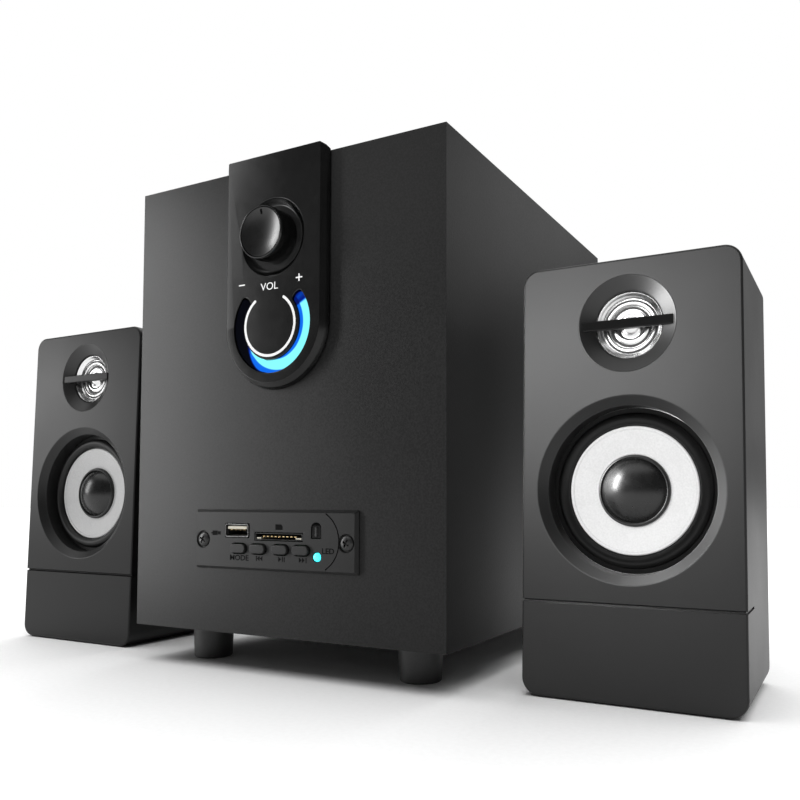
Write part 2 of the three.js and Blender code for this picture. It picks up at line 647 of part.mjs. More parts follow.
// ---- The whole set ----
const speakers = new THREE.Group();
const newBody = () => {
  const group = new THREE.Group();
  speakers.add(group);
  return group;
};
const subBodies = { wooferFixed: newBody(), wooferMoving: newBody() };
for (const name of ["volume", "rocker", "bass", ...Object.keys(BUTTONS)]) subBodies[name] = newBody();
subwoofer(newBody(), subBodies);
for (const side of Object.keys(SATELLITE_PLACES)) satellite(side, newBody(), newBody());

const whole = new THREE.Box3().setFromObject(speakers);
speakers.position.set(-(whole.min.x + whole.max.x) / 2, -(whole.min.y + whole.max.y) / 2, -whole.min.z);

export default speakers;
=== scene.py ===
"""The looks of a set of desktop speakers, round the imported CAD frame.

Lengths are millimetres until a mesh is made. Layout coordinates have X = 0 at the subwoofer's middle,
Y = 0 at its front face and Z = 0 on the desk. Turned pieces have local Y into the box that they sit in.
"""

import json
from math import atan2, cos, degrees, hypot, pi, radians, sin, tan

import bmesh
import bpy
from mathutils import Matrix, Vector
from mathutils.geometry import tessellate_polygon
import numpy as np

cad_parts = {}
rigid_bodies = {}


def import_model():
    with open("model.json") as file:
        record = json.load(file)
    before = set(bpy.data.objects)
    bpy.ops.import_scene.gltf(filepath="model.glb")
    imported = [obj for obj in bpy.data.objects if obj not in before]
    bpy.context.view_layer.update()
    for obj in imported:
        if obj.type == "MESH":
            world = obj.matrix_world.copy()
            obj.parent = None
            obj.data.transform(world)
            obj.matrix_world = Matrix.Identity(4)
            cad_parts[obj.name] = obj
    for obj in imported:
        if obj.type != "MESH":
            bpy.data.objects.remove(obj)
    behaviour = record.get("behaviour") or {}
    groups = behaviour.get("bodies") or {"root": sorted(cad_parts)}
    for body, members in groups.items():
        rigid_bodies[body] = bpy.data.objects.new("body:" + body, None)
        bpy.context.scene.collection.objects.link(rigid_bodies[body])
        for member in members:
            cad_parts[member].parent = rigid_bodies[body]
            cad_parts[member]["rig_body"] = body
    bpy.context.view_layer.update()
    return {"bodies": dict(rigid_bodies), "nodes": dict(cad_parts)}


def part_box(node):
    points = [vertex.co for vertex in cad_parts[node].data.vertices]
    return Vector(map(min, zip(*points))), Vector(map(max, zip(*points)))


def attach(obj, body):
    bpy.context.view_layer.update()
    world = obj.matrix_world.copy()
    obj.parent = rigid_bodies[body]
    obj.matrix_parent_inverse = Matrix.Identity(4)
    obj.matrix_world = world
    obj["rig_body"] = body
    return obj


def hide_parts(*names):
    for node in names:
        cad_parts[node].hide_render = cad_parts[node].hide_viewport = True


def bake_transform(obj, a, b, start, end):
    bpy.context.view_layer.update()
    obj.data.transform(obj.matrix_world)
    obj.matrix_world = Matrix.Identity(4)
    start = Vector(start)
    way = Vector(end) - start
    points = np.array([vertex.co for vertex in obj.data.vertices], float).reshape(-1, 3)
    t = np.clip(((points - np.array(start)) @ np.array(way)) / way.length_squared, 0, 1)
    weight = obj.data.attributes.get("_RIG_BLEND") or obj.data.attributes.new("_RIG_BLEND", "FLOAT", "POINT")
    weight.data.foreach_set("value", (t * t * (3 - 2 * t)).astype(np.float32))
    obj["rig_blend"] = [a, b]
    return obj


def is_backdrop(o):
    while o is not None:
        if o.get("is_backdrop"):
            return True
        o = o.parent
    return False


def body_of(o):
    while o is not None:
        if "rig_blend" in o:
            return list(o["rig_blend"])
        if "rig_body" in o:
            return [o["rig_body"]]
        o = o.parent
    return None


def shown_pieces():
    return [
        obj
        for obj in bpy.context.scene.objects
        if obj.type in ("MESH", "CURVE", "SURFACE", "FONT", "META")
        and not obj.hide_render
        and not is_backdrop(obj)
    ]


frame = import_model()

MM = 0.001
ROUND = 96  # sides of a large turned piece
SMALL = 48
SHARP = radians(38)  # edges sharper than this aren't smoothed
SOFTENED_EDGE = radians(40)  # and CAD edges sharper than this are softened
ON_AXIS = 1e-6  # a radius below this is a point on the axis
PRINT_HALF = 0.03  # half of a printed mark's thickness

cabinet_low, cabinet_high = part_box("sub_cabinet")
ORIGIN = Vector(((cabinet_low.x + cabinet_high.x) / 2, cabinet_low.y, 0))
LAYOUT = Matrix.Translation(ORIGIN)
LEAN = 0.026  # radians, by which the satellites lean back


def added(name, data):
    """A new object in the scene."""
    made = bpy.data.objects.new(name, data)
    bpy.context.scene.collection.objects.link(made)
    return made


# ---- camera
# solved from the edges of the three boxes
camera_data = bpy.data.cameras.new("camera")
camera_data.sensor_width = 36
camera_data.lens = 35.766
camera_data.shift_x = -0.0607
camera_data.shift_y = 0.0744
camera_data.clip_start = 0.01
camera = added("camera", camera_data)
camera.location = ORIGIN + Vector((222.991, -267.399, 75.315)) * MM
camera.rotation_euler = (pi / 2 + 0.050, 0, 0.481)
bpy.context.scene.camera = camera


# ---- materials
def node(tree, kind, settings=None, **inputs):
    """A new node. An input's name has _ for a space, or is i0, i1 and so on for its place."""
    made = tree.nodes.new(kind)
    for key, value in (settings or {}).items():
        setattr(made, key, value)
    for key, value in inputs.items():
        place = key[0] == "i" and key[1:].isdigit()
        socket = made.inputs[int(key[1:]) if place else key.replace("_", " ")]
        if isinstance(value, bpy.types.NodeSocket):
            tree.links.new(value, socket)
        else:
            socket.default_value = value
    return made


def calc(tree, operation, first, second=0.0):
    return node(tree, "ShaderNodeMath", {"operation": operation}, i0=first, i1=second).outputs[0]


def ramp(tree, factor, *stops):
    """A colour ramp from (position, grey or colour) stops."""
    made = node(tree, "ShaderNodeValToRGB", Fac=factor)
    elements = made.color_ramp.elements
    while len(elements) < len(stops):
        elements.new(0.5)
    for element, (position, _) in zip(elements, stops):
        element.position = position
    for element, (_, colour) in zip(elements, stops):
        element.color = (*colour, 1) if hasattr(colour, "__len__") else (colour, colour, colour, 1)
    return made.outputs["Color"]


def principled(name, **sockets):
    look = bpy.data.materials.new(name)
    look.use_nodes = True
    shader = look.node_tree.nodes["Principled BSDF"]
    for socket, value in sockets.items():
        shader.inputs[socket.replace("_", " ")].default_value = value
    return look, look.node_tree, shader


def noise(tree, size, detail=3.0):
    """Noise with features of about this size in millimetres."""
    coordinates = tree.nodes.get("Texture Coordinate") or node(tree, "ShaderNodeTexCoord")
    place = coordinates.outputs["Object"]
    return node(tree, "ShaderNodeTexNoise", Vector=place, Scale=1 / (size * MM), Detail=detail).outputs["Fac"]


def finish(name, dark, light, rough, patch, fleck, bump, share=0.5, spec=0.5, metal=0.0):
    """A surface with broad patches and fine flecks between two colours, uneven gloss and a fine relief.

    Patch and fleck are sizes and bump is a height, in mm. Share is how much of the mixture is flecks.
    """
    look, tree, shader = principled(name, Specular_IOR_Level=spec, Metallic=metal)
    broad = noise(tree, patch, 4.0)
    fine = noise(tree, fleck, 2.0)
    mixed = calc(tree, "ADD", calc(tree, "MULTIPLY", broad, 1 - share), calc(tree, "MULTIPLY", fine, share))
    tree.links.new(ramp(tree, mixed, (0.38, dark), (0.62, light)), shader.inputs["Base Color"])
    gloss = node(tree, "ShaderNodeMapRange", i0=mixed, i1=0.35, i2=0.65, i3=rough[0], i4=rough[1])
    tree.links.new(gloss.outputs[0], shader.inputs["Roughness"])
    relief = node(tree, "ShaderNodeBump", Strength=1.0, Distance=bump * MM, Height=fine)
    tree.links.new(relief.outputs[0], shader.inputs["Normal"])
    return look


WRAP = finish("wrap", 0.003, 0.009, (0.42, 0.50), 60, 0.8, 0.03, share=0.75, spec=0.25)
SATIN = finish("satin", 0.004, 0.006, (0.38, 0.44), 50, 0.35, 0.004, share=0.35, spec=0.35)
GLOSS = finish("gloss", 0.003, 0.005, (0.14, 0.19), 30, 4, 0.0, share=0.3)
# a darker, duller copy of the gloss: painted shade for the control panel's bevels, sides and recess walls
GLOSS_SHADED_SIDE = finish("gloss_side", 0.002, 0.004, (0.20, 0.26), 30, 4, 0.0, share=0.3, spec=0.3)
KNOB_FACE = finish("knob_face", 0.003, 0.006, (0.26, 0.32), 8, 0.3, 0.002, share=0.5)
MATTE = finish("matte", 0.010, 0.016, (0.48, 0.58), 20, 0.4, 0.012)
PLATE = finish("plate", 0.008, 0.013, (0.48, 0.56), 30, 0.4, 0.012, spec=0.3)
ROLL = finish("roll", 0.003, 0.006, (0.40, 0.50), 9, 0.5, 0.01, spec=0.3)
FLARE = finish("flare", 0.004, 0.007, (0.34, 0.40), 20, 0.35, 0.003, share=0.35)
RUBBER = finish("rubber", 0.016, 0.026, (0.52, 0.66), 9, 0.5, 0.02)
FOOT_RUBBER = finish("foot_rubber", 0.014, 0.024, (0.42, 0.56), 9, 0.7, 0.03)
PAPER = finish("white_cone", 0.52, 0.59, (0.45, 0.55), 12, 0.7, 0.03, share=0.6)
BLACK_PAPER = finish("black_cone", 0.012, 0.028, (0.7, 0.85), 10, 0.9, 0.06, share=0.7)
CAP_GLOSS = finish("dust_cap", 0.003, 0.006, (0.24, 0.30), 12, 3, 0.0, share=0.3)
RIM = finish("cap_rim", 0.006, 0.012, (0.30, 0.38), 10, 0.5, 0.004)
CHROME = finish("chrome", 0.66, 0.76, (0.17, 0.24), 6, 0.8, 0.001, metal=1.0)
STEEL = finish("steel", 0.42, 0.58, (0.24, 0.38), 7, 0.5, 0.004, metal=1.0)
NICKEL = finish("nickel", 0.10, 0.17, (0.30, 0.42), 5, 0.4, 0.004, metal=0.9)
BLACK_STEEL = finish("black_steel", 0.006, 0.014, (0.30, 0.42), 4, 0.4, 0.01, metal=0.2)
GOLD = finish("gold", (0.50, 0.35, 0.16), (0.66, 0.50, 0.27), (0.2, 0.32), 3, 0.3, 0.003, metal=1.0)
CREAM = finish("cream", (0.42, 0.39, 0.31), (0.54, 0.51, 0.42), (0.4, 0.5), 4, 0.3, 0.004)
FERRITE = finish("ferrite", 0.035, 0.07, (0.5, 0.7), 6, 0.6, 0.05)
BOARD = finish("board", (0.010, 0.07, 0.025), (0.018, 0.12, 0.045), (0.35, 0.5), 5, 0.5, 0.01)
COPPER = finish("laminations", 0.18, 0.34, (0.4, 0.6), 6, 0.5, 0.03, metal=0.7)
PAINT = finish("painted_plate", 0.016, 0.026, (0.34, 0.46), 30, 0.7, 0.03)
PRINT = finish("print", 0.78, 0.90, (0.5, 0.6), 2, 0.3, 0.002)
DARK_PRINT = finish("dark_print", 0.001, 0.003, (0.6, 0.7), 2, 0.3, 0.002, spec=0.05)
# near-black: the real plastic of the phono sockets' cores, and painted shade where it lines the inside of the
# USB port
DARK_PLASTIC_AND_SHADE = finish("dark_plastic", 0.004, 0.008, (0.5, 0.6), 4, 0.4, 0.01)
RED = finish("red_ring", (0.42, 0.010, 0.012), (0.55, 0.02, 0.02), (0.3, 0.4), 3, 0.4, 0.004)
WHITE = finish("white_ring", 0.62, 0.74, (0.3, 0.4), 3, 0.4, 0.004)
SMOKED = finish("smoked", 0.001, 0.003, (0.12, 0.18), 3, 1, 0.0, spec=0.15)

SLOT = {"x": -0.3, "z": 149.9, "inner": 15.0, "outer": 20.6, "from": 42.0, "to": 138.0}


def ring_light(name):
    """The dial's window: dark on the left, then a cyan stripe that crosses from inner to outer edge."""
    look, tree, shader = principled(name, Roughness=0.3, Base_Color=(0.0, 0.0005, 0.004, 1),
                                    Specular_IOR_Level=0.1)
    place = node(tree, "ShaderNodeTexCoord").outputs["Object"]
    axes = node(tree, "ShaderNodeSeparateXYZ", i0=place)
    x, z = axes.outputs["X"], axes.outputs["Z"]
    square = calc(tree, "ADD", calc(tree, "MULTIPLY", x, x), calc(tree, "MULTIPLY", z, z))
    radius = calc(tree, "MULTIPLY", calc(tree, "SQRT", square), 1 / MM)
    turn = calc(tree, "DIVIDE", calc(tree, "ARCTAN2", z, x), 2 * pi)
    along = calc(tree, "FRACT", calc(tree, "SUBTRACT", turn, SLOT["to"] / 360))
    width = SLOT["outer"] - SLOT["inner"]
    share = calc(tree, "DIVIDE", calc(tree, "SUBTRACT", radius, SLOT["inner"]), width)

    def above(edge, first, second):
        """1 where the share of the slot's width is past an edge, with a soft step."""
        gap = calc(tree, "SUBTRACT", first, second)
        return node(tree, "ShaderNodeMath", {"operation": "MULTIPLY_ADD", "use_clamp": True}, i0=gap, i1=edge,
                    i2=0.5).outputs[0]

    stripe_in = ramp(tree, along, (0.35, 0.0), (0.39, 0.10), (0.45, 0.26), (0.51, 0.36), (0.60, 0.39))
    stripe_out = ramp(tree, along, (0.215, 0.0), (0.27, 0.20), (0.325, 0.50), (0.39, 0.82), (0.43, 1.0))
    glow_out = ramp(tree, along, (0.20, 0.0), (0.24, 0.28), (0.27, 0.58), (0.30, 0.84), (0.33, 1.0))
    stripe = calc(tree, "MULTIPLY", above(14, share, calc(tree, "SUBTRACT", stripe_in, 0.06)),
                       above(14, calc(tree, "ADD", stripe_out, 0.02), share))
    glow = above(7, calc(tree, "ADD", glow_out, 0.04), share)
    level = ramp(tree, along, (0.20, 0.0), (0.245, 1.0), (0.690, 1.0), (0.698, 0.22), (0.72, 0.32),
                 (0.74, 0.16))
    value = calc(tree, "MULTIPLY", calc(tree, "MULTIPLY", calc(tree, "ADD", stripe, glow), 0.5), level)
    colour = ramp(tree, value, (0.0, 0.0), (0.25, (0.0, 0.012, 0.22)), (0.5, (0.004, 0.14, 0.80)),
                  (1.0, (0.24, 0.94, 1.0)))
    tree.links.new(colour, shader.inputs["Emission Color"])
    shader.inputs["Emission Strength"].default_value = 1.1
    relief = node(tree, "ShaderNodeBump", Strength=1.0, Distance=0.01 * MM, Height=noise(tree, 1.5))
    tree.links.new(relief.outputs[0], shader.inputs["Normal"])
    return look


def lamp_light(name):
    """A small lamp's lens, brightest in its middle."""
    look, tree, shader = principled(name, Roughness=0.2, Base_Color=(0.05, 0.5, 0.55, 1))
    place = node(tree, "ShaderNodeTexCoord").outputs["Object"]
    away = node(tree, "ShaderNodeVectorMath", {"operation": "LENGTH"}, i0=place).outputs["Value"]
    share = calc(tree, "DIVIDE", away, 2.6 * MM)
    colour = ramp(tree, share, (0.0, (0.10, 1.0, 1.0)), (0.75, (0.05, 0.85, 0.95)), (1.0, (0.0, 0.35, 0.5)))
    tree.links.new(colour, shader.inputs["Emission Color"])
    shader.inputs["Emission Strength"].default_value = 1.4
    return look


RING_LIGHT = ring_light("ring_light")
LAMP_LIGHT = lamp_light("lamp_light")


# ---- shapes
def at(x, y, z):
    """The place of a piece at a point in layout millimetres."""
    return LAYOUT @ Matrix.Translation((x * MM, y * MM, z * MM))


def piece(name, bm, place, look, body, slot=None, replaces=(), weighted=True):
    """Makes a closed, smooth-shaded piece of a mesh in millimetres, and lets it ride on a body."""
    bmesh.ops.remove_doubles(bm, verts=bm.verts, dist=1e-4)
    bmesh.ops.recalc_face_normals(bm, faces=bm.faces)
    bmesh.ops.scale(bm, vec=(MM, MM, MM), verts=bm.verts)
    mesh = bpy.data.meshes.new(name)
    bm.to_mesh(mesh)
    bm.free()
    mesh.polygons.foreach_set("use_smooth", [True] * len(mesh.polygons))
    mesh.set_sharp_from_angle(angle=SHARP)
    mesh.materials.append(look)
    made = added(name, mesh)
    made.matrix_world = place
    if weighted:
        modifier = made.modifiers.new("flat_faces", "WEIGHTED_NORMAL")
        modifier.keep_sharp = True
    if body:
        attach(made, body)
    if replaces:
        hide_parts(*replaces)
    return made


def softened(points):
    """A closed outline of (a, b) or (a, b, fillet) points, with its fillets rounded."""
    steps = 4
    out = []
    for i, point in enumerate(points):
        here = Vector(point[:2])
        if len(point) < 3:
            out.append(here)
            continue
        ends = []
        for other in (points[i - 1], points[(i + 1) % len(points)]):
            way = Vector(other[:2]) - here
            ends.append(here + way.normalized() * min(point[2], 0.48 * way.length))
        for k in range(steps + 1):
            t = k / steps
            out.append(ends[0].lerp(here, t).lerp(here.lerp(ends[1], t), t))
    return out


def circle(x, z, radius, y, segments=ROUND):
    angles = (2 * pi * i / segments for i in range(segments))
    return [(x + radius * cos(a), y, z + radius * sin(a)) for a in angles]


def turned_mesh(profile, segments=ROUND):
    """A closed shape turned about Y, from (radius, y) points."""
    bm = bmesh.new()
    points = softened(profile)
    on_axis = points[0][0] < ON_AXIS
    rings = []
    for radius, y in points:
        if radius < ON_AXIS:
            rings.append([bm.verts.new((0, y, 0))] * segments)
            continue
        rings.append([bm.verts.new(point) for point in circle(0, 0, radius, y, segments)])
    if not on_axis:
        rings.append(rings[0])
    for first, second in zip(rings, rings[1:]):
        for i in range(segments):
            j = (i + 1) % segments
            corners = []
            for vertex in (first[i], first[j], second[j], second[i]):
                if vertex not in corners:
                    corners.append(vertex)
            if len(corners) > 2:
                bm.faces.new(corners)
    return bm


def fixed(name, bm, look, *slot_and_replaced):
    """A piece of the subwoofer, in layout coordinates."""
    return piece(name, bm, LAYOUT, look, "subwoofer", *slot_and_replaced)


def turned(name, profile, place, look, body, segments=ROUND, **more):
    return piece(name, turned_mesh(profile, segments), place, look, body, weighted=False, **more)


def walls(bm, loops):
    """Joins loops of equally many points by quads, and returns the loops of vertices."""
    rings = [[bm.verts.new(point) for point in loop] for loop in loops]
    for first, second in zip(rings, rings[1:]):
        for i in range(len(first)):
            j = (i + 1) % len(first)
            bm.faces.new((first[i], first[j], second[j], second[i]))
    return rings


def closed_mesh(loops):
    """A solid with walls through the loops and flat ends."""
    bm = bmesh.new()
    rings = walls(bm, loops)
    bm.faces.new(rings[0])
    bm.faces.new(rings[-1])
    return bm


def cover(bm, loops):
    """A flat face inside the first loop of vertices and outside the others."""
    every = [vertex for loop in loops for vertex in loop]
    for corners in tessellate_polygon([[vertex.co.copy() for vertex in loop] for loop in loops]):
        if len(set(corners)) == 3:
            bm.faces.new([every[i] for i in corners])


def plate_mesh(outer, holes=()):
    """A solid between a front and a back. The outline and each hole are loops of points, front to back."""
    bm = bmesh.new()
    sets = [walls(bm, loops) for loops in (outer, *holes)]
    for end in (0, -1):
        cover(bm, [rings[end] for rings in sets])
    return bm


def joined(*meshes):
    """One bmesh of several."""
    whole = bmesh.new()
    for bm in meshes:
        mesh = bpy.data.meshes.new("part")
        bm.to_mesh(mesh)
        bm.free()
        whole.from_mesh(mesh)
        bpy.data.meshes.remove(mesh)
    return whole


def rounded_rectangle(x0, x1, z0, z1, corner, y, steps=6):
    """A loop in X and Z, starting at its right side's top."""
    corner = max(corner, 0.02)
    middles = ((x1 - corner, z1 - corner, 0), (x0 + corner, z1 - corner, 90),
               (x0 + corner, z0 + corner, 180), (x1 - corner, z0 + corner, 270))
    loop = []
    for x, z, start in middles:
        for k in range(steps + 1):
            a = radians(start + 90 * k / steps)
            loop.append((x + corner * cos(a), y, z + corner * sin(a)))
    return loop


def rounding(fillet, steps):
    """Steps round a small edge: how far each is still inwards, and how far down it has come."""
    angles = (pi / 2 * k / steps for k in range(steps + 1))
    return [(fillet * (1 - sin(a)), fillet * (1 - cos(a))) for a in angles]


def bar_mesh(x0, x1, z0, z1, y0, y1, corner=0.5, fillet=0.3, steps=6):
    """A block with rounded sides and a rounded front, its back at y1."""
    loops = []
    for inset, down in rounding(fillet, 4):
        loops.append(rounded_rectangle(
            x0 + inset, x1 - inset, z0 + inset, z1 - inset, max(corner - inset, 0.05), y0 + down, steps
        ))
    loops.append(rounded_rectangle(x0, x1, z0, z1, corner, y1, steps))
    return plate_mesh(loops)


def facing_back(bm):
    """The mesh mirrored in Y, so that its front faces +Y."""
    bmesh.ops.transform(bm, matrix=Matrix.Scale(-1, 4, (0, 1, 0)), verts=bm.verts)
    return bm


def tube_loops(loop_at, fillet, y0, y1):
    """A hole's loops: a small rounded edge at y0, growing outwards by fillet, then straight to y1."""
    return [loop_at(grow, y0 + down) for grow, down in rounding(fillet, 3)] + [loop_at(0, y1)]


def subtract(target, *cutters):
    """Cuts closed meshes, given as bmeshes in the target's millimetres, out of a piece."""
    for bm in cutters:
        bmesh.ops.recalc_face_normals(bm, faces=bm.faces)
        bmesh.ops.scale(bm, vec=(MM, MM, MM), verts=bm.verts)
        mesh = bpy.data.meshes.new("cutter")
        bm.to_mesh(mesh)
        bm.free()
        cutter = added("cutter", mesh)
        cutter.matrix_world = target.matrix_world
        modifier = target.modifiers.new("cut", "BOOLEAN")
        modifier.object, modifier.operation, modifier.solver = cutter, "DIFFERENCE", "EXACT"
        with bpy.context.temp_override(object=target, active_object=target):
            bpy.ops.object.modifier_move_to_index(modifier="cut", index=0)
            bpy.ops.object.modifier_apply(modifier="cut")
        bpy.data.objects.remove(cutter)
    target.data.polygons.foreach_set("use_smooth", [True] * len(target.data.polygons))
    target.data.set_sharp_from_angle(angle=SHARP)
    return target


def cross_slot(half_length, half_width, bottom):
    """Cutters for a screw head's cross, down to a depth."""
    long, wide, mouth = (-half_length, half_length), (-half_width, half_width), bottom - 3
    return [bar_mesh(*a, *b, mouth, bottom, 0.05, 0.02, 2) for a, b in ((long, wide), (wide, long))]


def screw(name, profile, place, half_length, half_width, bottom, **more):
    """A cross-head screw in the subwoofer."""
    head = turned(name, profile, place, BLACK_STEEL, "subwoofer", SMALL, **more)
    subtract(head, *cross_slot(half_length, half_width, bottom))


def label(name, text, x0, x1, z0, z1, y, look, turn=0.0, bold=0.0):
    """Printed text on the subwoofer that fills a box, facing -Y, or +Y where turn is half a turn."""
    curve = bpy.data.curves.new(name, "FONT")
    curve.body = text
    curve.resolution_u = 4
    text_half = 0.01
    curve.extrude = text_half
    curve.offset = bold
    source = added(name, curve)
    bpy.context.view_layer.update()
    mesh = bpy.data.meshes.new_from_object(source.evaluated_get(bpy.context.evaluated_depsgraph_get()))
    bpy.data.objects.remove(source)
    points = [v.co for v in mesh.vertices]
    low = [min(p[i] for p in points) for i in range(2)]
    high = [max(p[i] for p in points) for i in range(2)]
    for p in points:
        p.x = (p.x - (low[0] + high[0]) / 2) * (x1 - x0) / (high[0] - low[0])
        p.y = (p.y - (low[1] + high[1]) / 2) * (z1 - z0) / (high[1] - low[1])
        p.z *= PRINT_HALF / text_half
    mesh.transform(Matrix.Scale(MM, 4))
    mesh.materials.clear()
    mesh.materials.append(look)
    mesh.name = name
    made = added(name, mesh)
    middle = Vector(((x0 + x1) / 2, y, (z0 + z1) / 2)) * MM
    made.matrix_world = (LAYOUT @ Matrix.Translation(middle) @ Matrix.Rotation(turn, 4, "Z")
                         @ Matrix.Rotation(pi / 2, 4, "X"))
    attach(made, "subwoofer")


def mark(name, outlines, y, look):
    """Printed marks, each an outline of (x, z) points, as one piece that faces -Y."""
    solids = (closed_mesh([[(x, y + side, z) for x, z in outline] for side in (-PRINT_HALF, PRINT_HALF)])
              for outline in outlines)
    piece(name, joined(*solids), LAYOUT, look, "subwoofer", weighted=False)


def seat(cad_node, outward, nearest):
    """The matrix of a turned CAD node whose foremost point has local Y = nearest."""
    outward = Vector(outward).normalized()
    depth = -outward
    high = (Vector((0, 0, 1)) - outward * outward.z).normalized()
    across = depth.cross(high)
    points = [v.co for v in frame["nodes"][cad_node].data.vertices]

    def middle(direction):
        places = [p.dot(direction) for p in points]
        return (min(places) + max(places)) / 2

    front = max(p.dot(outward) for p in points)
    origin = across * middle(across) + high * middle(high) + outward * (front + nearest * MM)
    matrix = Matrix((across, depth, high)).transposed().to_4x4()
    matrix.translation = origin
    return matrix


def dress(look, *names, bevel=0.0, segments=2):
    """A better material for CAD nodes, and softened edges where bevel, in millimetres, isn't 0."""
    for name in names:
        target = frame["nodes"][name]
        for place in target.material_slots:
            place.material = look
        if bevel:
            weld = target.modifiers.new("weld", "WELD")
            weld.merge_threshold = 1e-6
            edge = target.modifiers.new("edge", "BEVEL")
            edge.width, edge.segments = bevel * MM, segments
            edge.limit_method, edge.angle_limit = "ANGLE", SOFTENED_EDGE
            flat = target.modifiers.new("flat_faces", "WEIGHTED_NORMAL")
            flat.keep_sharp = True


# ---- subwoofer box
dress(WRAP, "sub_cabinet", bevel=0.5, segments=3)
dress(WRAP, "sub_rear_panel")
for foot in ("front_left", "front_right", "rear_left", "rear_right"):
    low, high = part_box("foot_" + foot)
    top = (high.z - low.z) / MM
    middle = Matrix.Translation(((low.x + high.x) / 2, (low.y + high.y) / 2, 0))
    upright = middle @ Matrix.Rotation(pi / 2, 4, "X")
    profile = [(0, top), (9.6, top, 0.4), (9.25, top - 5.5, 0.5), (8.8, 0, 0.9), (6.2, 0, 0.4),
               (5.6, 0.8, 0.4), (0, 0.8)]
    turned("rubber_" + foot, profile, upright, FOOT_RUBBER, "subwoofer", SMALL, slot="rubber",
           replaces=["foot_" + foot])

# ---- control panel
PANEL = {"proud": 4.0, "half": 25.4, "bevel": 2.4, "arc": 150.2, "top_front": 225.1, "top_rear": 222.6}
KNOB = {"z": 188.1, "radius": 11.6, "face": -11.9}


def panel_loop(grow, y, drop=0.0):
    """The panel's outline, a tongue with a round foot, at one depth."""
    half = PANEL["half"] + grow
    share = -y / PANEL["proud"]
    top = PANEL["top_rear"] + (PANEL["top_front"] - PANEL["top_rear"]) * share - drop
    loop = [(half, y, top - 0.5), (half - 0.15, y, top - 0.15), (half - 0.5, y, top)]
    loop += [(0.5 - half, y, top), (0.15 - half, y, top - 0.15), (-half, y, top - 0.5)]
    loop += [(half * cos(a), y, PANEL["arc"] + half * sin(a)) for a in
             (pi + pi * k / 64 for k in range(65))]
    return loop


def c_loop(inner, outer, start, end, y, x=SLOT["x"], z=SLOT["z"]):
    """A C with rounded ends between two radii and two angles in degrees, at one depth."""
    cap, steps, bulge = 6, 72, 0.55
    middle, half = (inner + outer) / 2, (outer - inner) / 2
    loop = []
    for k in range(steps + 1):
        a = radians(start + (end - start) * k / steps)
        loop.append((x + outer * cos(a), y, z + outer * sin(a)))
    for a0, turn in ((end, 1), (start, -1)):
        a = radians(a0)
        along = Vector((-sin(a), cos(a))) * turn
        out = Vector((cos(a), sin(a))) * turn
        for k in range(1, cap):
            b = pi * k / cap
            point = (Vector((cos(a), sin(a))) * middle + out * (half * cos(b))
                     + along * (half * bulge * sin(b)))
            loop.append((x + point.x, y, z + point.y))
        if turn == 1:
            for k in range(steps + 1):
                c = radians(end + (start - end) * k / steps)
                loop.append((x + inner * cos(c), y, z + inner * sin(c)))
    return loop


def c_hole(margin, y):
    """The dial's slot, grown by a margin."""
    middle_radius, slack = 18, 1.5
    ends = degrees(margin / middle_radius) + slack
    return c_loop(SLOT["inner"] - margin, SLOT["outer"] + margin, SLOT["to"] + 4 - ends,
                  SLOT["from"] + 356 + ends, y)


def control_panel():
    proud = PANEL["proud"]
    outer = [panel_loop(-inset, down - proud, inset / 2) for inset, down in rounding(0.3, 4)]
    for grow, y in ((1.4, -2.4), (1.65, -2.1), (PANEL["bevel"] - 0.1, -0.6), (PANEL["bevel"], -0.3)):
        outer.append(panel_loop(grow, y))
    recess = [(17.25, -proud), (17.0, -proud + 0.06), (16.85, -proud + 0.22), (16.7, -proud + 0.6),
              (15.6, -2.4), (14.6, -1.65),
              (13.8, -1.5), (3.8, -1.5), (3.8, -0.3)]
    recess = [circle(0, KNOB["z"], radius, y) for radius, y in recess]
    slot = [c_hole(0.25, -proud), c_hole(0.08, -proud + 0.08), c_hole(0, -proud + 0.25), c_hole(0, -0.3)]
    made = fixed("front_panel", plate_mesh(outer, [recess, slot]), GLOSS, "gloss_black", ["control_panel"])
    # faces that don't look straight forward take the darker copy of the gloss: painted shade on the bevels,
    # sides and recess walls
    made.data.materials.append(GLOSS_SHADED_SIDE)
    for polygon in made.data.polygons:
        polygon.material_index = int(polygon.normal.y > -0.9)


control_panel()
window = plate_mesh([c_loop(15.25, 20.35, 142.6, 397.4, depth, 0, 0) for depth in (-3.4, -0.6)])
piece("dial_window", window, at(SLOT["x"], 0, SLOT["z"]), RING_LIGHT, "subwoofer", "light", ["light_window"])

line = plate_mesh([c_loop(12.85, 14.0, 126, 417, depth, -1.0, 150.15) for depth in (-4.05, -3.95)])
fixed("dial_line", line, PRINT)
label("word_volume", "VOL", -6.1, 3.4, 165.2, 168.4, -PANEL["proud"], PRINT)
minus = [(-18.4, 168.75), (-15.0, 168.75), (-15.0, 169.25), (-18.4, 169.25)]
mark("mark_less", [minus], -PANEL["proud"], PRINT)
plus = [(12.9, 168.3), (14.3, 168.3), (14.3, 167.0), (14.9, 167.0), (14.9, 168.3), (16.3, 168.3),
        (16.3, 168.9),
        (14.9, 168.9), (14.9, 170.2), (14.3, 170.2), (14.3, 168.9), (12.9, 168.9)]
mark("mark_more", [plus], -PANEL["proud"], PRINT)

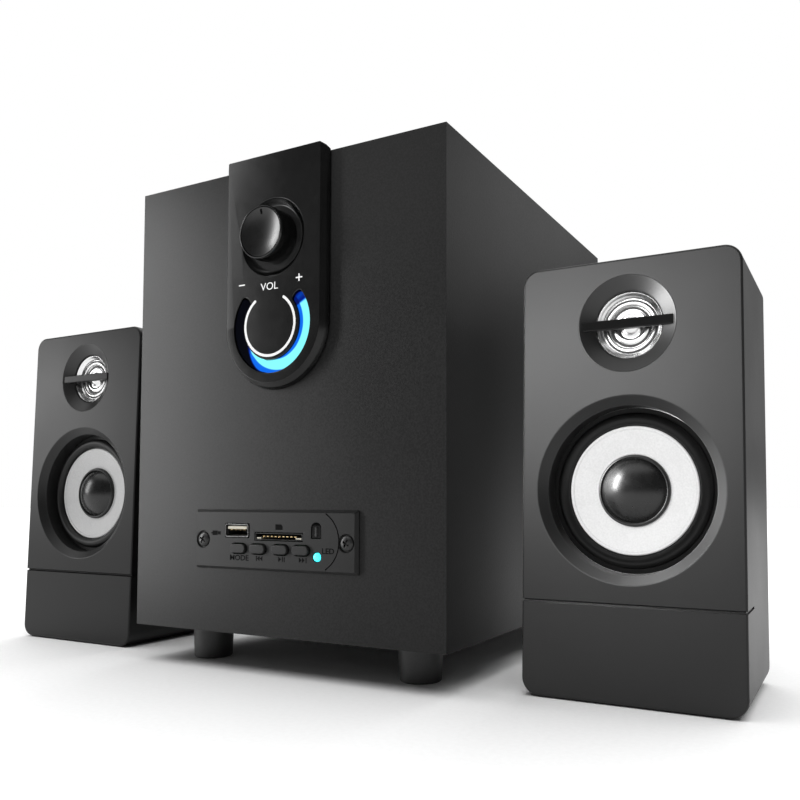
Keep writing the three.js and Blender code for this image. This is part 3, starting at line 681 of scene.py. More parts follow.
# ---- volume knob
knob_place = at(0, 0, KNOB["z"])
face, radius = KNOB["face"], KNOB["radius"]
turned("knob_body", [
    (0, face + 2.6), (10.65, face + 2.6), (10.7, face + 0.3, 0.15), (10.9, face, 0.12),
    (11.25, face + 0.1, 0.2),
    (11.5, face + 0.7, 0.4), (radius, -2.2, 0.2), (radius, -1.9), (0, -1.9),
], knob_place, GLOSS, "volume_control", slot="gloss_black", replaces=["volume_knob"])
knob_face = turned("knob_face", [
    *((1.15 * k, face + 2.1 - 0.0175 * (1.15 * k) ** 2) for k in range(10)),
    (10.6, face + 0.4, 0.1), (10.6, face + 2.55), (0, face + 2.55),
], knob_place, KNOB_FACE, "volume_control", slot="gloss_black")
subtract(knob_face, bar_mesh(-0.6, 0.6, 7.7, 9.8, face - 1, face + 1.6, 0.5, 0.1, 3))
dress(STEEL, "volume_shaft")
dress(BOARD, "control_board", "media_board", "amp_board")
dress(COPPER, "transformer")

# ---- media player plate
MEDIA = {"left": -44.5, "right": 43.1, "low": 44.7, "high": 70.8, "proud": 1.8, "bevel": 1.1}
USB = {"x": -19.6, "z": 61.75, "width": 13.2, "height": 5.7}
CARD = {"x": 3.2, "z": 59.45, "width": 25.3, "height": 3.1}
INFRARED = {"x": 22.9, "low": 59.3, "high": 65.5, "width": 4.6}
BUTTONS = {"mode": -18.6, "previous": -7.8, "play": 4.3, "next": 15.3}
BUTTON = {"z": 54.0, "width": 8.5, "height": 3.9, "face": -3.1}
LAMP = (23.3, 51.5)
SCREWS = {"media_screw_left": -39.4, "media_screw_right": 37.9}
SCREW_Z = 57.5


def rectangle_at(x, z, width, height, corner):
    return lambda grow, y: rounded_rectangle(
        x - width / 2 - grow, x + width / 2 + grow, z - height / 2 - grow, z + height / 2 + grow,
        corner + grow, y
    )


def arch_at(margin):
    def loop(grow, y):
        half = INFRARED["width"] / 2 + margin + grow
        low = INFRARED["low"] - margin - grow
        top = INFRARED["high"] - INFRARED["width"] / 2
        arc = [(INFRARED["x"] + half * cos(a), y, top + half * sin(a)) for a in
               (pi * k / 24 for k in range(25))]
        return arc + [(INFRARED["x"] - half, y, low), (INFRARED["x"] + half, y, low)]
    return loop


def media_plate():
    front = -MEDIA["proud"]
    outer = []
    for grow, y in ((-0.12, front), (-0.04, front + 0.03), (0.02, front + 0.1),
                    (MEDIA["bevel"] - 0.05, -0.45), (MEDIA["bevel"], -0.3)):
        inset = MEDIA["bevel"] - grow
        outer.append(rounded_rectangle(MEDIA["left"] + inset, MEDIA["right"] - inset, MEDIA["low"] + inset,
                                       MEDIA["high"] - inset, 0.5, y))
    holes = [
        tube_loops(rectangle_at(USB["x"], USB["z"], USB["width"] + 0.6, USB["height"] + 0.6, 0.6), 0.12,
                   front, -0.3),
        tube_loops(rectangle_at(CARD["x"], CARD["z"], CARD["width"] + 0.6, CARD["height"] + 0.6, 0.3), 0.15,
                   front, -0.3),
        tube_loops(arch_at(0.3), 0.12, front, -0.3),
        tube_loops(lambda grow, y: circle(LAMP[0], LAMP[1], 2.1 + grow, y, SMALL), 0.12, front, -0.3),
    ]
    clear_width, clear_height = BUTTON["width"] + 0.9, BUTTON["height"] + 0.9
    for x in BUTTONS.values():
        holes.append(tube_loops(rectangle_at(x, BUTTON["z"], clear_width, clear_height,
                                             clear_height / 2 - 0.01), 0.15, front, -0.3))
    for x in SCREWS.values():
        steps = ((4.05, front), (3.95, front + 0.04), (3.75, front + 0.3), (3.5, -1.0), (1.7, -1.0),
                 (1.7, -0.3))
        holes.append([circle(x, SCREW_Z, radius, y, SMALL) for radius, y in steps])
    made = fixed("player_plate", plate_mesh(outer, holes), PLATE, "matte_black", ["media_plate"])
    loops = []
    steps, half_sweep, x, z = 40, 61, 21.2, 58.0
    for k in range(steps + 1):
        a = radians(-half_sweep + 2 * half_sweep * k / steps)
        loops.append([(x + r * cos(a), y, z + r * sin(a)) for r, y in
                      ((12.85, front - 0.2), (12.85, front + 0.6), (13.4, front + 0.6), (13.4, front - 0.2))])
    subtract(made, closed_mesh(loops))


media_plate()


def usb_port():
    x, z, width, height = USB["x"], USB["z"], USB["width"], USB["height"]
    outer = rectangle_at(x, z, width, height, 0.9)
    inner = rectangle_at(x, z, width - 1.0, height - 1.0, 0.5)
    front = -2.2
    loops = [inner(-0.05, 8.0), inner(0, front + 0.35), inner(0.16, front + 0.06), outer(-0.16, front),
             outer(-0.04, front + 0.06),
             outer(0, front + 0.2), outer(0, front + 14)]
    fixed("usb_shell", closed_mesh(loops), NICKEL, "steel", ["usb_port"])
    # a near-black lining over the shell's inner walls: painted shade inside the port
    lining = bmesh.new()
    rings = walls(lining, [inner(-0.09, -0.9), inner(-0.09, 7.9), inner(-0.3, 7.9), inner(-0.3, -0.9)])
    for i in range(len(rings[0])):
        j = (i + 1) % len(rings[0])
        lining.faces.new((rings[3][i], rings[3][j], rings[0][j], rings[0][i]))
    fixed("usb_lining", lining, DARK_PLASTIC_AND_SHADE)
    tongue = bar_mesh(x - 5.5, x + 5.3, z + 0.6, z + 1.9, -1.6, 7.5, 0.15, 0.15, 3)
    fixed("usb_tongue", tongue, CREAM)
    middles = [x - 3.6 + 2.4 * k for k in range(4)]
    contacts = joined(*(bar_mesh(m - 0.5, m + 0.5, z + 0.2, z + 0.38, -1.2, 6, 0.05, 0.05, 2)
                        for m in middles))
    fixed("usb_contacts", contacts, GOLD)


def card_slot():
    x, z, width, height = CARD["x"], CARD["z"], CARD["width"], CARD["height"]
    outer = rectangle_at(x, z, width, height, 0.35)
    inner = rectangle_at(x, z, width - 0.9, height - 0.9, 0.15)
    front = -1.7
    loops = [inner(-0.02, 20), inner(0, front + 0.2), inner(0.12, front + 0.03), outer(-0.1, front),
             outer(0, front + 0.12), outer(0, front + 27)]
    fixed("card_shell", closed_mesh(loops), BLACK_STEEL, "steel", ["card_slot"])
    middles = [x - 8.1 + 2.1 * k for k in range(9)]
    springs = [bar_mesh(m - 0.55, m + 0.55, z - 0.15, z + 0.3, -1.35, 5, 0.1, 0.08, 2) for m in middles]
    fixed("card_springs", joined(*springs), GOLD)
    catch = bar_mesh(x + 8.9, x + 11.9, z - 0.95, z - 0.35, -1.55, 6, 0.1, 0.1, 2)
    guide = bar_mesh(x - 11.9, x - 9.6, z - 0.95, z - 0.45, -1.5, 6, 0.1, 0.1, 2)
    fixed("card_guides", joined(catch, guide), CREAM)
    fixed("card_lining", bar_mesh(x - 12.1, x + 12.1, z - 1.0, z + 1.0, 8, 9, 0.1, 0.05, 2), DARK_PLASTIC_AND_SHADE)


usb_port()
card_slot()
arch = arch_at(0)
arch_loops = [arch(-0.2, -1.5), arch(-0.06, -1.46), arch(0, -1.3), arch(0, 1.5)]
fixed("remote_window", plate_mesh(arch_loops), SMOKED, "smoked", ["ir_window"])
eye = bar_mesh(INFRARED["x"] - 0.75, INFRARED["x"] + 0.75, INFRARED["low"] + 0.3, INFRARED["high"] - 1.5,
               -1.95, -1.4, 0.7, 0.5)
fixed("remote_eye", eye, PLATE)

turned("lamp_lens", [(0, -0.3), (0.7, -0.25), (1.3, -0.02), (1.68, 0.4), (1.8, 0.8), (1.8, 4.2), (0, 4.2)],
       at(LAMP[0], -2.2, LAMP[1]), LAMP_LIGHT, "subwoofer", SMALL, slot="light", replaces=["led_lens"])

for name, x in BUTTONS.items():
    half_width, half_height, front = BUTTON["width"] / 2, BUTTON["height"] / 2, BUTTON["face"]
    key = bar_mesh(x - half_width, x + half_width, BUTTON["z"] - half_height, BUTTON["z"] + half_height,
                   front, 0.9, half_height - 0.01, 0.45, 10)
    piece("key_" + name, key, LAYOUT, PLATE, name + "_key", "matte_black", ["button_" + name])

for name, x in SCREWS.items():
    screw(name.replace("media_screw", "plate_screw"), [
        (0, -2.35), (1.2, -2.3), (2.2, -2.1), (2.9, -1.75), (3.2, -1.3, 0.1), (1.4, -1.3), (1.4, 8), (0, 8),
    ], at(x, 0, SCREW_Z) @ Matrix.Rotation(0.5, 4, "Y"), 1.7, 0.42, -1.45, slot="steel", replaces=[name])

front = -MEDIA["proud"]
label("word_mode", "MODE", -23.5, -12.9, 48.8, 51.2, front, DARK_PRINT, bold=0.02)
label("word_led", "LED", 26.0, 32.0, 53.0, 55.3, front, DARK_PRINT, bold=0.02)


def triangle(x, z, size, way):
    return [(x, z - size), (x + way * size * 1.25, z), (x, z + size)]


def bar_outline(x, z, half_width, half_height):
    return [(x - half_width, z - half_height), (x + half_width, z - half_height),
            (x + half_width, z + half_height), (x - half_width, z + half_height)]


# generic pictures of a plug and a card stand where the interface names were
DARK_MARKS = {
    "previous": [bar_outline(-8.6, 50.0, 0.22, 1.1), triangle(-6.9, 50.0, 1.1, -1),
                 triangle(-5.3, 50.0, 1.1, -1)],
    "play": [triangle(3.3, 50.0, 1.15, 1), bar_outline(5.5, 50.0, 0.22, 1.1),
             bar_outline(6.5, 50.0, 0.22, 1.1)],
    "next": [triangle(14.2, 50.0, 1.1, 1), triangle(15.8, 50.0, 1.1, 1), bar_outline(17.9, 50.0, 0.22, 1.1)],
    "plug": [bar_outline(-32.4, 60.5, 1.5, 1.0), bar_outline(-29.9, 60.5, 0.8, 0.7),
             bar_outline(-34.3, 60.5, 0.35, 0.22)],
    "card": [[(1.6, 62.4), (5.4, 62.4), (5.4, 64.0), (4.7, 64.7), (1.6, 64.7)]],
}
for name, outlines in DARK_MARKS.items():
    mark("mark_" + name, outlines, front, DARK_PRINT)

# ---- subwoofer's driver, in the left side
sub_seat = seat("sub_woofer_dust_cap", (-1, 0, 0), 7.6)
turned("sub_flange", [
    (62, -0.3), (62, -1.6, 0.6), (60.6, -2.3, 0.5), (55, -2.3), (52.8, -2.3), (52.8, 7.4), (32, 33.6),
    (21, 33.6),
    (21, 35), (33, 35), (54.5, 8), (54.5, -0.3),
], sub_seat, BLACK_STEEL, "subwoofer", slot="steel", replaces=["sub_woofer_flange", "sub_woofer_basket"])


def surround(name, seat_matrix, box_body, cone_body, outer, inner, look, cad_node, slot):
    """A roll of rubber in two pieces that meet at its crest. The inner one stretches between box and cone."""
    turned(name + "_outer", outer, seat_matrix, look, box_body, slot=slot, replaces=[cad_node])
    bm = turned_mesh(inner)
    made = piece(name + "_inner", bm, seat_matrix, look, None, slot, weighted=False)
    depths = [y for _, y, *_ in inner]
    start, end = (seat_matrix @ Vector((0, y * MM, 0)) for y in (min(depths), max(depths) - 0.9))
    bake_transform(made, box_body, cone_body, start=start, end=end)


def roll(middle, base, radius, thickness, lean_from, lean_to):
    """Part of a roll's section, out along its top and back along its underside."""
    steps = 14
    angles = [radians(lean_from + (lean_to - lean_from) * k / steps) for k in range(steps + 1)]
    top = [(middle + radius * cos(a), base + radius * sin(a)) for a in angles]
    inside = radius - thickness
    under = [(middle + inside * cos(a), base + inside * sin(a)) for a in reversed(angles)]
    return top, under


def surround_profiles(middle, base, radius, thickness, lip_out, lip_in, lip):
    top, under = roll(middle, base, radius, thickness, 0, -90)
    outer = ([(lip_out, base + lip), (lip_out, base)] + top + under
             + [(middle + radius - thickness, base + lip)])
    top, under = roll(middle, base, radius, thickness, -180, -90)
    inner = [(lip_in, base + lip), (lip_in, base)] + top + under + [(middle - radius + thickness, base + lip)]
    return outer, inner


outer, inner = surround_profiles(49, -3.4, 4.6, 0.6, 54.4, 43.2, 0.8)
surround("sub_surround", sub_seat, "subwoofer", "sub_cone", outer, inner, RUBBER, "sub_woofer_surround",
         "rubber")
turned("sub_gasket", [(60, -2.3), (60, -4.0, 0.4), (54.6, -4.2, 0.3), (54.4, -2.3)], sub_seat, RUBBER,
       "subwoofer")
turned("sub_paper", [(43.4, -3.7), (43.4, -3.0), (42.2, -2.2), (16.6, 20), (16.6, 36), (15.4, 36),
                     (15.4, 18.7), (42.5, -3.7)],
       sub_seat, BLACK_PAPER, "sub_cone", slot="black_cone", replaces=["sub_woofer_cone"])
turned("sub_cap", [(0, 7.6), (5, 8), (9.5, 9.1), (14, 11.3), (17.4, 13.9, 0.4), (18.2, 15.5), (0, 15.5)],
       sub_seat, BLACK_PAPER, "sub_cone", slot="black_cone", replaces=["sub_woofer_dust_cap"])
DRIVER_SCREWS = 57.6  # their radius about the driver's axis
for k in range(4):
    a = radians(45 + 90 * k)
    place = sub_seat @ Matrix.Translation((DRIVER_SCREWS * cos(a) * MM, 0, DRIVER_SCREWS * sin(a) * MM))
    screw(f"driver_screw_{k + 1}", [
        (0, -5.9), (2.0, -5.8), (3.2, -5.2), (3.6, -4.3, 0.2), (1.9, -4.25), (1.9, 6), (0, 6),
    ], place, 1.9, 0.42, -4.9)
dress(FERRITE, "sub_woofer_motor", "left_woofer_motor", "right_woofer_motor")

# ---- amplifier plate on the rear
REAR = {"panel": 197.5, "plate": 199.3}
dress(PAINT, "amp_plate", bevel=0.3)
PORT_Z = 181.0
mouth = REAR["panel"] + 0.3
turned("port", [
    (20, mouth - 70), (23, mouth - 70), (23, mouth), (28, mouth, 0.2), (28, mouth + 1.2, 0.8),
    (26.2, mouth + 2.2, 0.8),
    (24, mouth + 1.6, 1.5), (21.4, mouth - 0.8, 1.5), (20, mouth - 7, 3),
], at(0, 0, PORT_Z), MATTE, "subwoofer", slot="matte_black", replaces=["port_tube"])
ROCKER = {"x": -34.0, "z": 126.0, "width": 13.0, "height": 19.0}


def rear_block(name, x, z, width, height, y0, y1, holes, corner, look, slot, node_name):
    """A block that faces +Y, with blind holes: each is a list of loops from its mouth inwards."""
    bm = bmesh.new()
    outline = rectangle_at(x, z, width, height, corner)
    outer = walls(bm, [outline(-0.35, y1), outline(-0.1, y1 - 0.1), outline(0, y1 - 0.35), outline(0, y0)])
    bm.faces.new(outer[-1])
    mouths = [outer[0]]
    for loops in holes:
        rings = walls(bm, loops)
        bm.faces.new(rings[-1])
        mouths.append(rings[0])
    cover(bm, mouths)
    fixed(name, bm, look, slot, [node_name])


well = rectangle_at(ROCKER["x"], ROCKER["z"], ROCKER["width"] + 0.6, ROCKER["height"] + 2.4, 0.5)
top = REAR["plate"] + 2
rear_block("switch_frame", ROCKER["x"], ROCKER["z"], ROCKER["width"] + 4, ROCKER["height"] + 4, top - 16, top,
           [[well(0.25, top), well(0.05, top - 0.08), well(0, top - 0.3), well(0, top - 13)]], 0.8, MATTE,
           "matte_black", "power_switch")
dress(GLOSS, "power_rocker", bevel=0.4, segments=3)
inlet = (-34.0, 62.0)
inlet_mouth = rectangle_at(inlet[0], inlet[1], 17.0, 8.6, 4.25)
top = REAR["plate"] + 1.5
rear_block("mains_socket", inlet[0], inlet[1], 27, 20, top - 18, top,
           [[inlet_mouth(0.4, top), inlet_mouth(0.1, top - 0.1), inlet_mouth(0, top - 0.4),
             inlet_mouth(0, top - 12)]],
           1.2, MATTE, "matte_black", "mains_inlet")
for k, side in enumerate((-1, 1)):
    turned(f"mains_pin_{k + 1}", [(0, top - 3), (0.9, top - 3, 0.3), (1.2, top - 3.6), (1.2, top - 12.5),
                                  (0, top - 12.5)],
           at(inlet[0] + side * 4.3, 0, inlet[1]), STEEL, "subwoofer", 24)

SOCKETS = {"x": 30.0, "z": 72.0, "pitch_x": 18.0, "pitch_z": 20.0}
base = REAR["plate"] + 1
housing = bar_mesh(SOCKETS["x"] - 19, SOCKETS["x"] + 19, SOCKETS["z"] - 20, SOCKETS["z"] + 20, -base,
                   16 - base, 1, 0.4)
fixed("socket_housing", facing_back(housing), MATTE, "matte_black", ["socket_block"])
SOCKET_COLOURS = {(-1, 1): WHITE, (1, 1): RED, (-1, -1): WHITE, (1, -1): RED}


def jack(name, place, collar):
    """A phono socket: a coloured collar, a steel barrel and an open centre with its lining."""
    parts = (
        ("_collar", [(4.6, 0), (6.4, 0), (6.4, 1.2, 0.4), (4.6, 1.4, 0.2)], collar),
        ("_barrel", [(3.5, -0.8), (4.15, -0.8), (4.15, 8.2, 0.25), (3.5, 8.5, 0.2)], STEEL),
        ("_core", [(0, 1.5), (0, -0.6), (3.45, -0.6), (3.45, 8.0, 0.2), (1.7, 7.9, 0.2), (1.7, 1.5)],
         WHITE if collar is WHITE else DARK_PLASTIC_AND_SHADE),
    )
    for part, profile, look in parts:
        turned(name + part, profile, place, look, "subwoofer", SMALL)


for (i, k), colour in SOCKET_COLOURS.items():
    x, z = SOCKETS["x"] + i * SOCKETS["pitch_x"] / 2, SOCKETS["z"] + k * SOCKETS["pitch_z"] / 2
    jack(f"jack_{'low' if k < 0 else 'high'}_{'a' if i < 0 else 'b'}", at(x, base, z), colour)

BASS_KNOB = {"x": 30, "z": 126, "ridges": 24, "ridge": 0.03}
bass_place = at(BASS_KNOB["x"], REAR["plate"] + 0.4, BASS_KNOB["z"])
dial = turned_mesh([(0, -14), (3, -14), (3, 0), (8, 0, 0.3), (7.6, 9.8, 0.4), (6.9, 11, 0.6), (5.6, 11, 0.3),
                    (5.0, 10.7, 0.3), (0, 10.7)])
for vertex in dial.verts:
    away = hypot(vertex.co.x, vertex.co.z)
    if away > 7 and vertex.co.y < 10:
        turn = atan2(vertex.co.z, vertex.co.x)
        ridge = 1 - BASS_KNOB["ridge"] * (0.5 + 0.5 * cos(BASS_KNOB["ridges"] * turn))
        vertex.co.x *= ridge
        vertex.co.z *= ridge
piece("tone_knob", dial, bass_place, MATTE, "bass_control", "matte_black", ["bass_knob"], weighted=False)
pointer = bar_mesh(-0.45, 0.45, 2.2, 6.2, -11.15, -10.4, 0.3, 0.15, 3)
piece("tone_pointer", facing_back(pointer), bass_place, PRINT, "bass_control")

for number, (x, z) in enumerate(((-53, 38), (-53, 146), (53, 38), (53, 146), (-53, 92), (53, 92)), 1):
    place = at(x, REAR["plate"], z) @ Matrix.Rotation(pi + number, 4, "Y") @ Matrix.Rotation(pi, 4, "Z")
    screw(f"plate_fixing_{number}", [
        (0, -1.9), (1.6, -1.8), (2.6, -1.2), (3.0, -0.25, 0.2), (1.4, -0.2), (1.4, 9), (0, 9),
    ], place, 1.6, 0.36, -1.1)
REAR_WORDS = {"BASS": (24.5, 35.5, 111.5, 114.3), "IN": (45, 48, 96.0, 98.6), "OUT": (12, 18, 96.0, 98.6),
              "POWER": (-41.5, -26.5, 140.2, 143.0)}
for word, box in REAR_WORDS.items():
    label("word_" + word.lower(), word, *box, REAR["plate"], PRINT, turn=pi)


# ---- satellites
SAT = {"half": 41.42, "bottom": 0.5, "height": 166.0, "depth": 65.2, "corner": 6.5, "wall": 3.0,
       "fillet": 0.9}
TWEETER_Z, WOOFER_Z, GROOVE_Z = 141.2, 78.9, 36.5
CAP = {"arc": radians(50), "radius": 12.2, "crown": 5.0, "rise": 4.85, "steps": 16}
SOCKET_LENGTH = 8.5
WALL_RADIUS = 31.8  # polygons nearer than this to the woofer's axis are its opening's black wall
SLOPE = tan(LEAN)


def shell_loop(inset, depth):
    """The satellite's outline, drawn in by inset, at one depth behind its leaning front."""
    flat = rounded_rectangle(inset - SAT["half"], SAT["half"] - inset, SAT["bottom"] + inset,
                             SAT["height"] - inset,
                             SAT["corner"] - min(inset, 6), 0, 10)
    return [(x, depth + z * SLOPE, z) for x, _, z in flat]


def face_loop(z, radius, depth):
    """A circle square to the leaning front, about a point at height z."""
    middle = Vector((0, z * SLOPE, z)) + Vector((0, cos(LEAN), -sin(LEAN))) * depth
    up = Vector((0, sin(LEAN), cos(LEAN)))
    loop = []
    steps = 128
    for k in range(steps):
        a = 2 * pi * k / steps
        loop.append(middle + Vector((radius * cos(a), 0, 0)) + up * (radius * sin(a)))
    return loop


def shell_mesh():
    fillet, depth, wall = SAT["fillet"], SAT["depth"], SAT["wall"]
    outer = [shell_loop(inset, down) for inset, down in rounding(fillet, 8)]
    outer += [shell_loop(0, depth - 0.8), shell_loop(0.25, depth - 0.2), shell_loop(0.8, depth),
              shell_loop(wall - 0.1, depth),
              shell_loop(wall, depth - 0.2), shell_loop(wall, wall)]
    woofer = [face_loop(WOOFER_Z, radius, depth) for radius, depth in (
        (35.5, 0), (35.2, 0.03), (34.9, 0.16), (34.7, 0.36), (31.85, 2.6), (31.65, 2.85), (31.6, 3.1),
        (31.6, 9.7), (36.2, 9.7), (36.2, 3.0))]
    tweeter = [face_loop(TWEETER_Z, radius, depth) for radius, depth in (
        (18.58, 0), (18.52, 0.02), (18.5, 0.08), (18.5, 3.0))]
    return plate_mesh(outer, [woofer, tweeter])


def groove_cutters():
    """A V across the front and a shallow notch down each side."""
    half = SAT["half"] + 2
    y = GROOVE_Z * SLOPE
    loops = [[(x, y - 0.6, GROOVE_Z - 0.95), (x, y - 0.6, GROOVE_Z + 0.95), (x, y + 1.15, GROOVE_Z + 0.12),
              (x, y + 1.15, GROOVE_Z - 0.12)]
             for x in (-half, half)]
    cutters = [closed_mesh(loops)]
    for side in (-1, 1):
        x0, x1 = sorted((side * (SAT["half"] - 0.7), side * (SAT["half"] + 1)))
        cutters.append(bar_mesh(x0, x1, GROOVE_Z - 0.5, GROOVE_Z + 0.5, -1, 18, 0.05, 0.02, 2))
    return cutters


def satellite(side):
    low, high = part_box(side + "_front_shell")
    body, cone = side + "_satellite", side + "_cone"
    place = Matrix.Translation(((low.x + high.x) / 2, low.y - SAT["bottom"] * SLOPE * MM, 0))
    shell = piece(side + "_shell", shell_mesh(), place, SATIN, body, "satin_shell", [side + "_front_shell"])
    subtract(shell, *groove_cutters())
    shell.data.materials.append(DARK_PLASTIC_AND_SHADE)
    for polygon in shell.data.polygons:
        x, _, z = polygon.center / MM
        polygon.material_index = int(hypot(x, z - WOOFER_Z) < WALL_RADIUS)
    outward = (0, -cos(LEAN), sin(LEAN))
    woofer = seat(side + "_woofer_dust_cap", outward, CAP["crown"])
    tweeter = seat(side + "_tweeter_horn", outward, 0.0)
    prefix = side + "_"

    # woofer
    outer, inner = surround_profiles(27.2, 9.1, 2.4, 0.5, 31.4, 24.5, 0.6)
    surround(prefix + "roll", woofer, body, cone, outer, inner, ROLL, prefix + "woofer_surround", "rubber")
    turned(prefix + "cone", [
        (24.5, 8.9), (24.5, 9.7), (12.7, 12.2), (12.7, 24), (12, 24), (12, 11), (13.6, 10.75),
        (14.2, 10.55, 0.2), (14.6, 10.7, 0.2),
        (23.1, 8.95, 0.2), (23.5, 8.6, 0.2), (24.15, 8.5, 0.2),
    ], woofer, PAPER, cone, slot="white_cone", replaces=[prefix + "woofer_cone"])
    turned(prefix + "cap_rim", [
        (11.2, 10.3), (12.45, 10.3), (12.5, 9.4, 0.1), (12.8, 9.1, 0.15), (13.3, 9.3, 0.2), (13.7, 9.8, 0.2),
        (13.75, 10.7), (11.2, 10.7),
    ], woofer, RIM, cone)
    dome = [(0, 10.5), (12.3, 10.5), (12.3, 9.95, 0.1)]
    for k in range(1, CAP["steps"] + 1):
        a = CAP["arc"] * (1 - k / CAP["steps"])
        depth = CAP["rise"] * (1 - cos(a)) / (1 - cos(CAP["arc"]))
        dome.append((CAP["radius"] * sin(a) / sin(CAP["arc"]), CAP["crown"] + depth))
    turned(prefix + "cap", dome[::-1], woofer, CAP_GLOSS, cone, slot="gloss_black",
           replaces=[prefix + "woofer_dust_cap"])

    # tweeter
    turned(prefix + "flare", [
        (18.46, 0.08), (18.46, 4.6), (15.4, 4.6), (15.4, 9), (12.9, 9), (12.9, 3.4, 0.4), (13.2, 3.0, 0.4),
        (18.2, 0.08, 0.4), (18.36, 0.03, 0.05),
    ], tweeter, FLARE, body, slot="matte_black", replaces=[prefix + "tweeter_horn"])
    turned(prefix + "lens", [
        (0, 5.1), (1.3, 5.2), (2.4, 5.7, 0.3), (3.4, 6.7, 0.4), (4.4, 7.0, 0.3), (5.2, 6.7, 0.3),
        (6.2, 6.6, 0.4), (7.1, 7.2, 0.3), (7.6, 7.2, 0.3),
        (8.3, 6.2, 0.4), (9.2, 5.9, 0.3), (9.7, 6.4, 0.2), (10.2, 6.4, 0.2), (10.7, 5.6, 0.3),
        (11.6, 4.9, 0.3), (12.6, 3.9, 0.2), (12.7, 9.3),
        (0, 9.3),
    ], tweeter, CHROME, body, slot="chrome", replaces=[prefix + "tweeter_dome"])
    turned(prefix + "lens_line", [(9.55, 6.25), (10.3, 6.3), (10.3, 6.6), (9.55, 6.6)], tweeter, DARK_PLASTIC_AND_SHADE, body)
    turned(prefix + "lens_ring", [(6.9, 7.0), (7.75, 7.0), (7.75, 7.4), (6.9, 7.4)], tweeter, DARK_PLASTIC_AND_SHADE, body)
    bar = bar_mesh(-17.2, 17.2, -1.85, 1.85, 0.0, 1.8, 0.5, 0.4, 4)
    piece(prefix + "bar", bar, tweeter, ROLL, body)

    # rear
    dress(MATTE, prefix + "rear_cover", bevel=0.3)
    dress(FOOT_RUBBER, prefix + "pad", bevel=0.25)
    dress(STEEL, prefix + "woofer_basket")
    socket_low, socket_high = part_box(prefix + "lead_socket")
    face = socket_high.y - SOCKET_LENGTH * MM
    lead = Matrix.Translation(((socket_low.x + socket_high.x) / 2, face, (socket_low.z + socket_high.z) / 2))
    turned(prefix + "socket_body", [(0, -12), (5, -12), (5, 0), (7.5, 0), (7.5, 1.6, 0.5), (4.5, 1.6),
                                    (4.5, 1.0), (0, 1.0)],
           lead, MATTE, body, SMALL, slot="matte_black", replaces=[prefix + "lead_socket"])
    turned(prefix + "socket_barrel", [(3.5, 0.8), (4.15, 0.8), (4.15, 8.2, 0.25), (3.5, 8.5, 0.2)], lead,
           STEEL, body, SMALL)
    turned(prefix + "socket_core", [(0, 0.9), (3.45, 0.9), (3.45, 8.0, 0.2), (1.7, 7.9, 0.2), (1.7, 2.5),
                                    (0, 2.5)],
           lead, RED if side == "right" else WHITE, body, SMALL)


for side in ("left", "right"):
    satellite(side)


# ---- floor and light
FLOOR_HALF = 6.0
floor_mesh = bpy.data.meshes.new("floor")
floor_corners = [(-FLOOR_HALF, -FLOOR_HALF, 0), (FLOOR_HALF, -FLOOR_HALF, 0), (FLOOR_HALF, FLOOR_HALF, 0),
                 (-FLOOR_HALF, FLOOR_HALF, 0)]
floor_mesh.from_pydata(floor_corners, [], [(0, 1, 2, 3)])
floor = added("floor", floor_mesh)
floor_mesh.materials.append(finish("floor_paint", 0.90, 0.94, (0.6, 0.7), 300, 2, 0.0))
floor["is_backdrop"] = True


def shine_on(light, lit, blocked=True):
    """Makes a light reach only the lit pieces, and pass through all but the floor unless it is blocked."""
    receivers = bpy.data.collections.new(light.name + "_receivers")
    for shown in lit:
        receivers.objects.link(shown)
    light.light_linking.receiver_collection = receivers
    if not blocked:
        light.light_linking.blocker_collection = bpy.data.collections.new(light.name + "_blockers")
        light.light_linking.blocker_collection.objects.link(floor)


def riding(*bodies, without=()):
    """The pieces that ride on some bodies, but for those whose names start in certain ways."""
    return [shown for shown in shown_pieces()
            if set(body_of(shown)) & set(bodies) and not shown.name.startswith(tuple(without))]


def named(*starts):
    return [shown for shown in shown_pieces() if shown.name.startswith(starts)]


def strip(name, place, target, size, power, lit, blocked=True):
    """A soft box by the set, in layout millimetres."""
    data = bpy.data.lights.new(name, "AREA")
    data.shape = "RECTANGLE"
    data.size, data.size_y = (length * MM for length in size)
    data.energy = power
    made = added(name, data)
    made.location, aim = ORIGIN + Vector(place) * MM, ORIGIN + Vector(target) * MM
    made.rotation_euler = (aim - made.location).to_track_quat("-Z", "Y").to_euler()
    shine_on(made, lit, blocked)


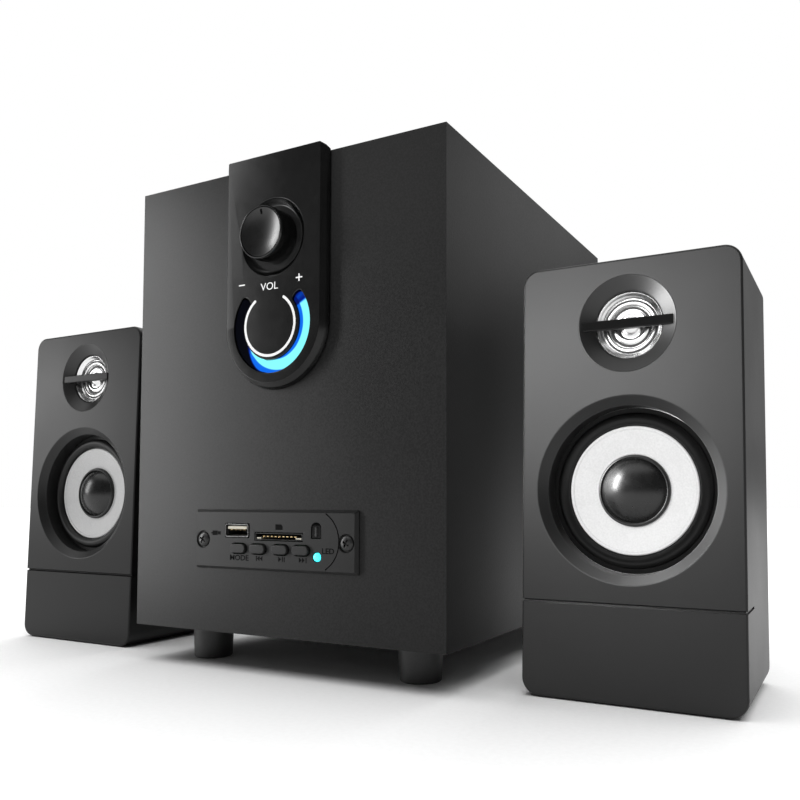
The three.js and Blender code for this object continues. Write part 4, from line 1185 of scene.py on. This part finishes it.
SUN_WIDTH = radians(100)
WORLD_LEVEL, SEEN_LEVEL = 0.17, 1.0  # the world's strength as light, and as the camera sees it
sub_bodies = [name for name in frame["bodies"] if not name.startswith(("left_", "right_"))]
glossy = ("front_panel", "dial_", "knob_", "player_plate", "remote_")
for name, power, lit in (("floor_sun", 4.3, [floor]),
                         ("top_sun", 2.2, riding(*frame["bodies"], without=glossy))):
    data = bpy.data.lights.new(name, "SUN")
    data.energy = power
    data.angle = SUN_WIDTH
    sun = added(name, data)
    sun.rotation_euler = (radians(-8), radians(-6), 0)
    shine_on(sun, lit)
sub_fronts = riding(*sub_bodies, without=("front_panel", "dial_window", "knob_"))
strip("sub_key", (-250, -130, 155), (-75, 0, 120), (40, 300), 0.78, sub_fronts)
strip("sub_top", (-91, -300, 350), (75, 0, 195), (130, 100), 0.12, sub_fronts)
strip("sub_side", (223, 387, 345), (82, 60, 200), (120, 160), 0.09, riding(*sub_bodies))
without = ("right_cap", "right_roll", "right_flare", "right_bar")
strip("right_key", (30, -300, 215), (130, 20, 120), (230, 190), 1.4,
      riding("right_satellite", "right_cone", without=without))
strip("left_key", (-433, -150, 170), (-190, 18, 110), (90, 160), 0.33, riding("left_satellite", "left_cone"))
strip("panel_card", (-489, -400, 300), (-15, 0, 190), (120, 500), 0.75, named("front_panel"), False)
strip("knob_card", (-359, -134, 314), (0, -12, 188), (90, 200), 0.75, named("knob_"), False)
strip("flare_card", (-305, -183, 60), (146, 20, 141), (480, 440), 17, named("right_flare"), False)
strip("cap_card", (-202, -100, 223), (146, 20, 79), (290, 230), 9, named("right_cap"), False)
strip("rim_card", (62, 34, 129), (146, 20, 79), (60, 54), 1.1, named("right_shell"), False)
strip("side_card", (420, 900, 420), (180, 60, 90), (700, 560), 0.36, riding("right_satellite"))

world = bpy.data.worlds.new("world")
world.use_nodes = True
backdrop = world.node_tree.nodes["Background"]
backdrop.inputs["Color"].default_value = (1, 1, 1, 1)
seen = node(world.node_tree, "ShaderNodeLightPath").outputs["Is Camera Ray"]
level = node(world.node_tree, "ShaderNodeMapRange", i0=seen, i3=WORLD_LEVEL, i4=SEEN_LEVEL).outputs[0]
world.node_tree.links.new(level, backdrop.inputs["Strength"])
bpy.context.scene.world = world
bpy.context.scene.view_settings.view_transform = "Standard"
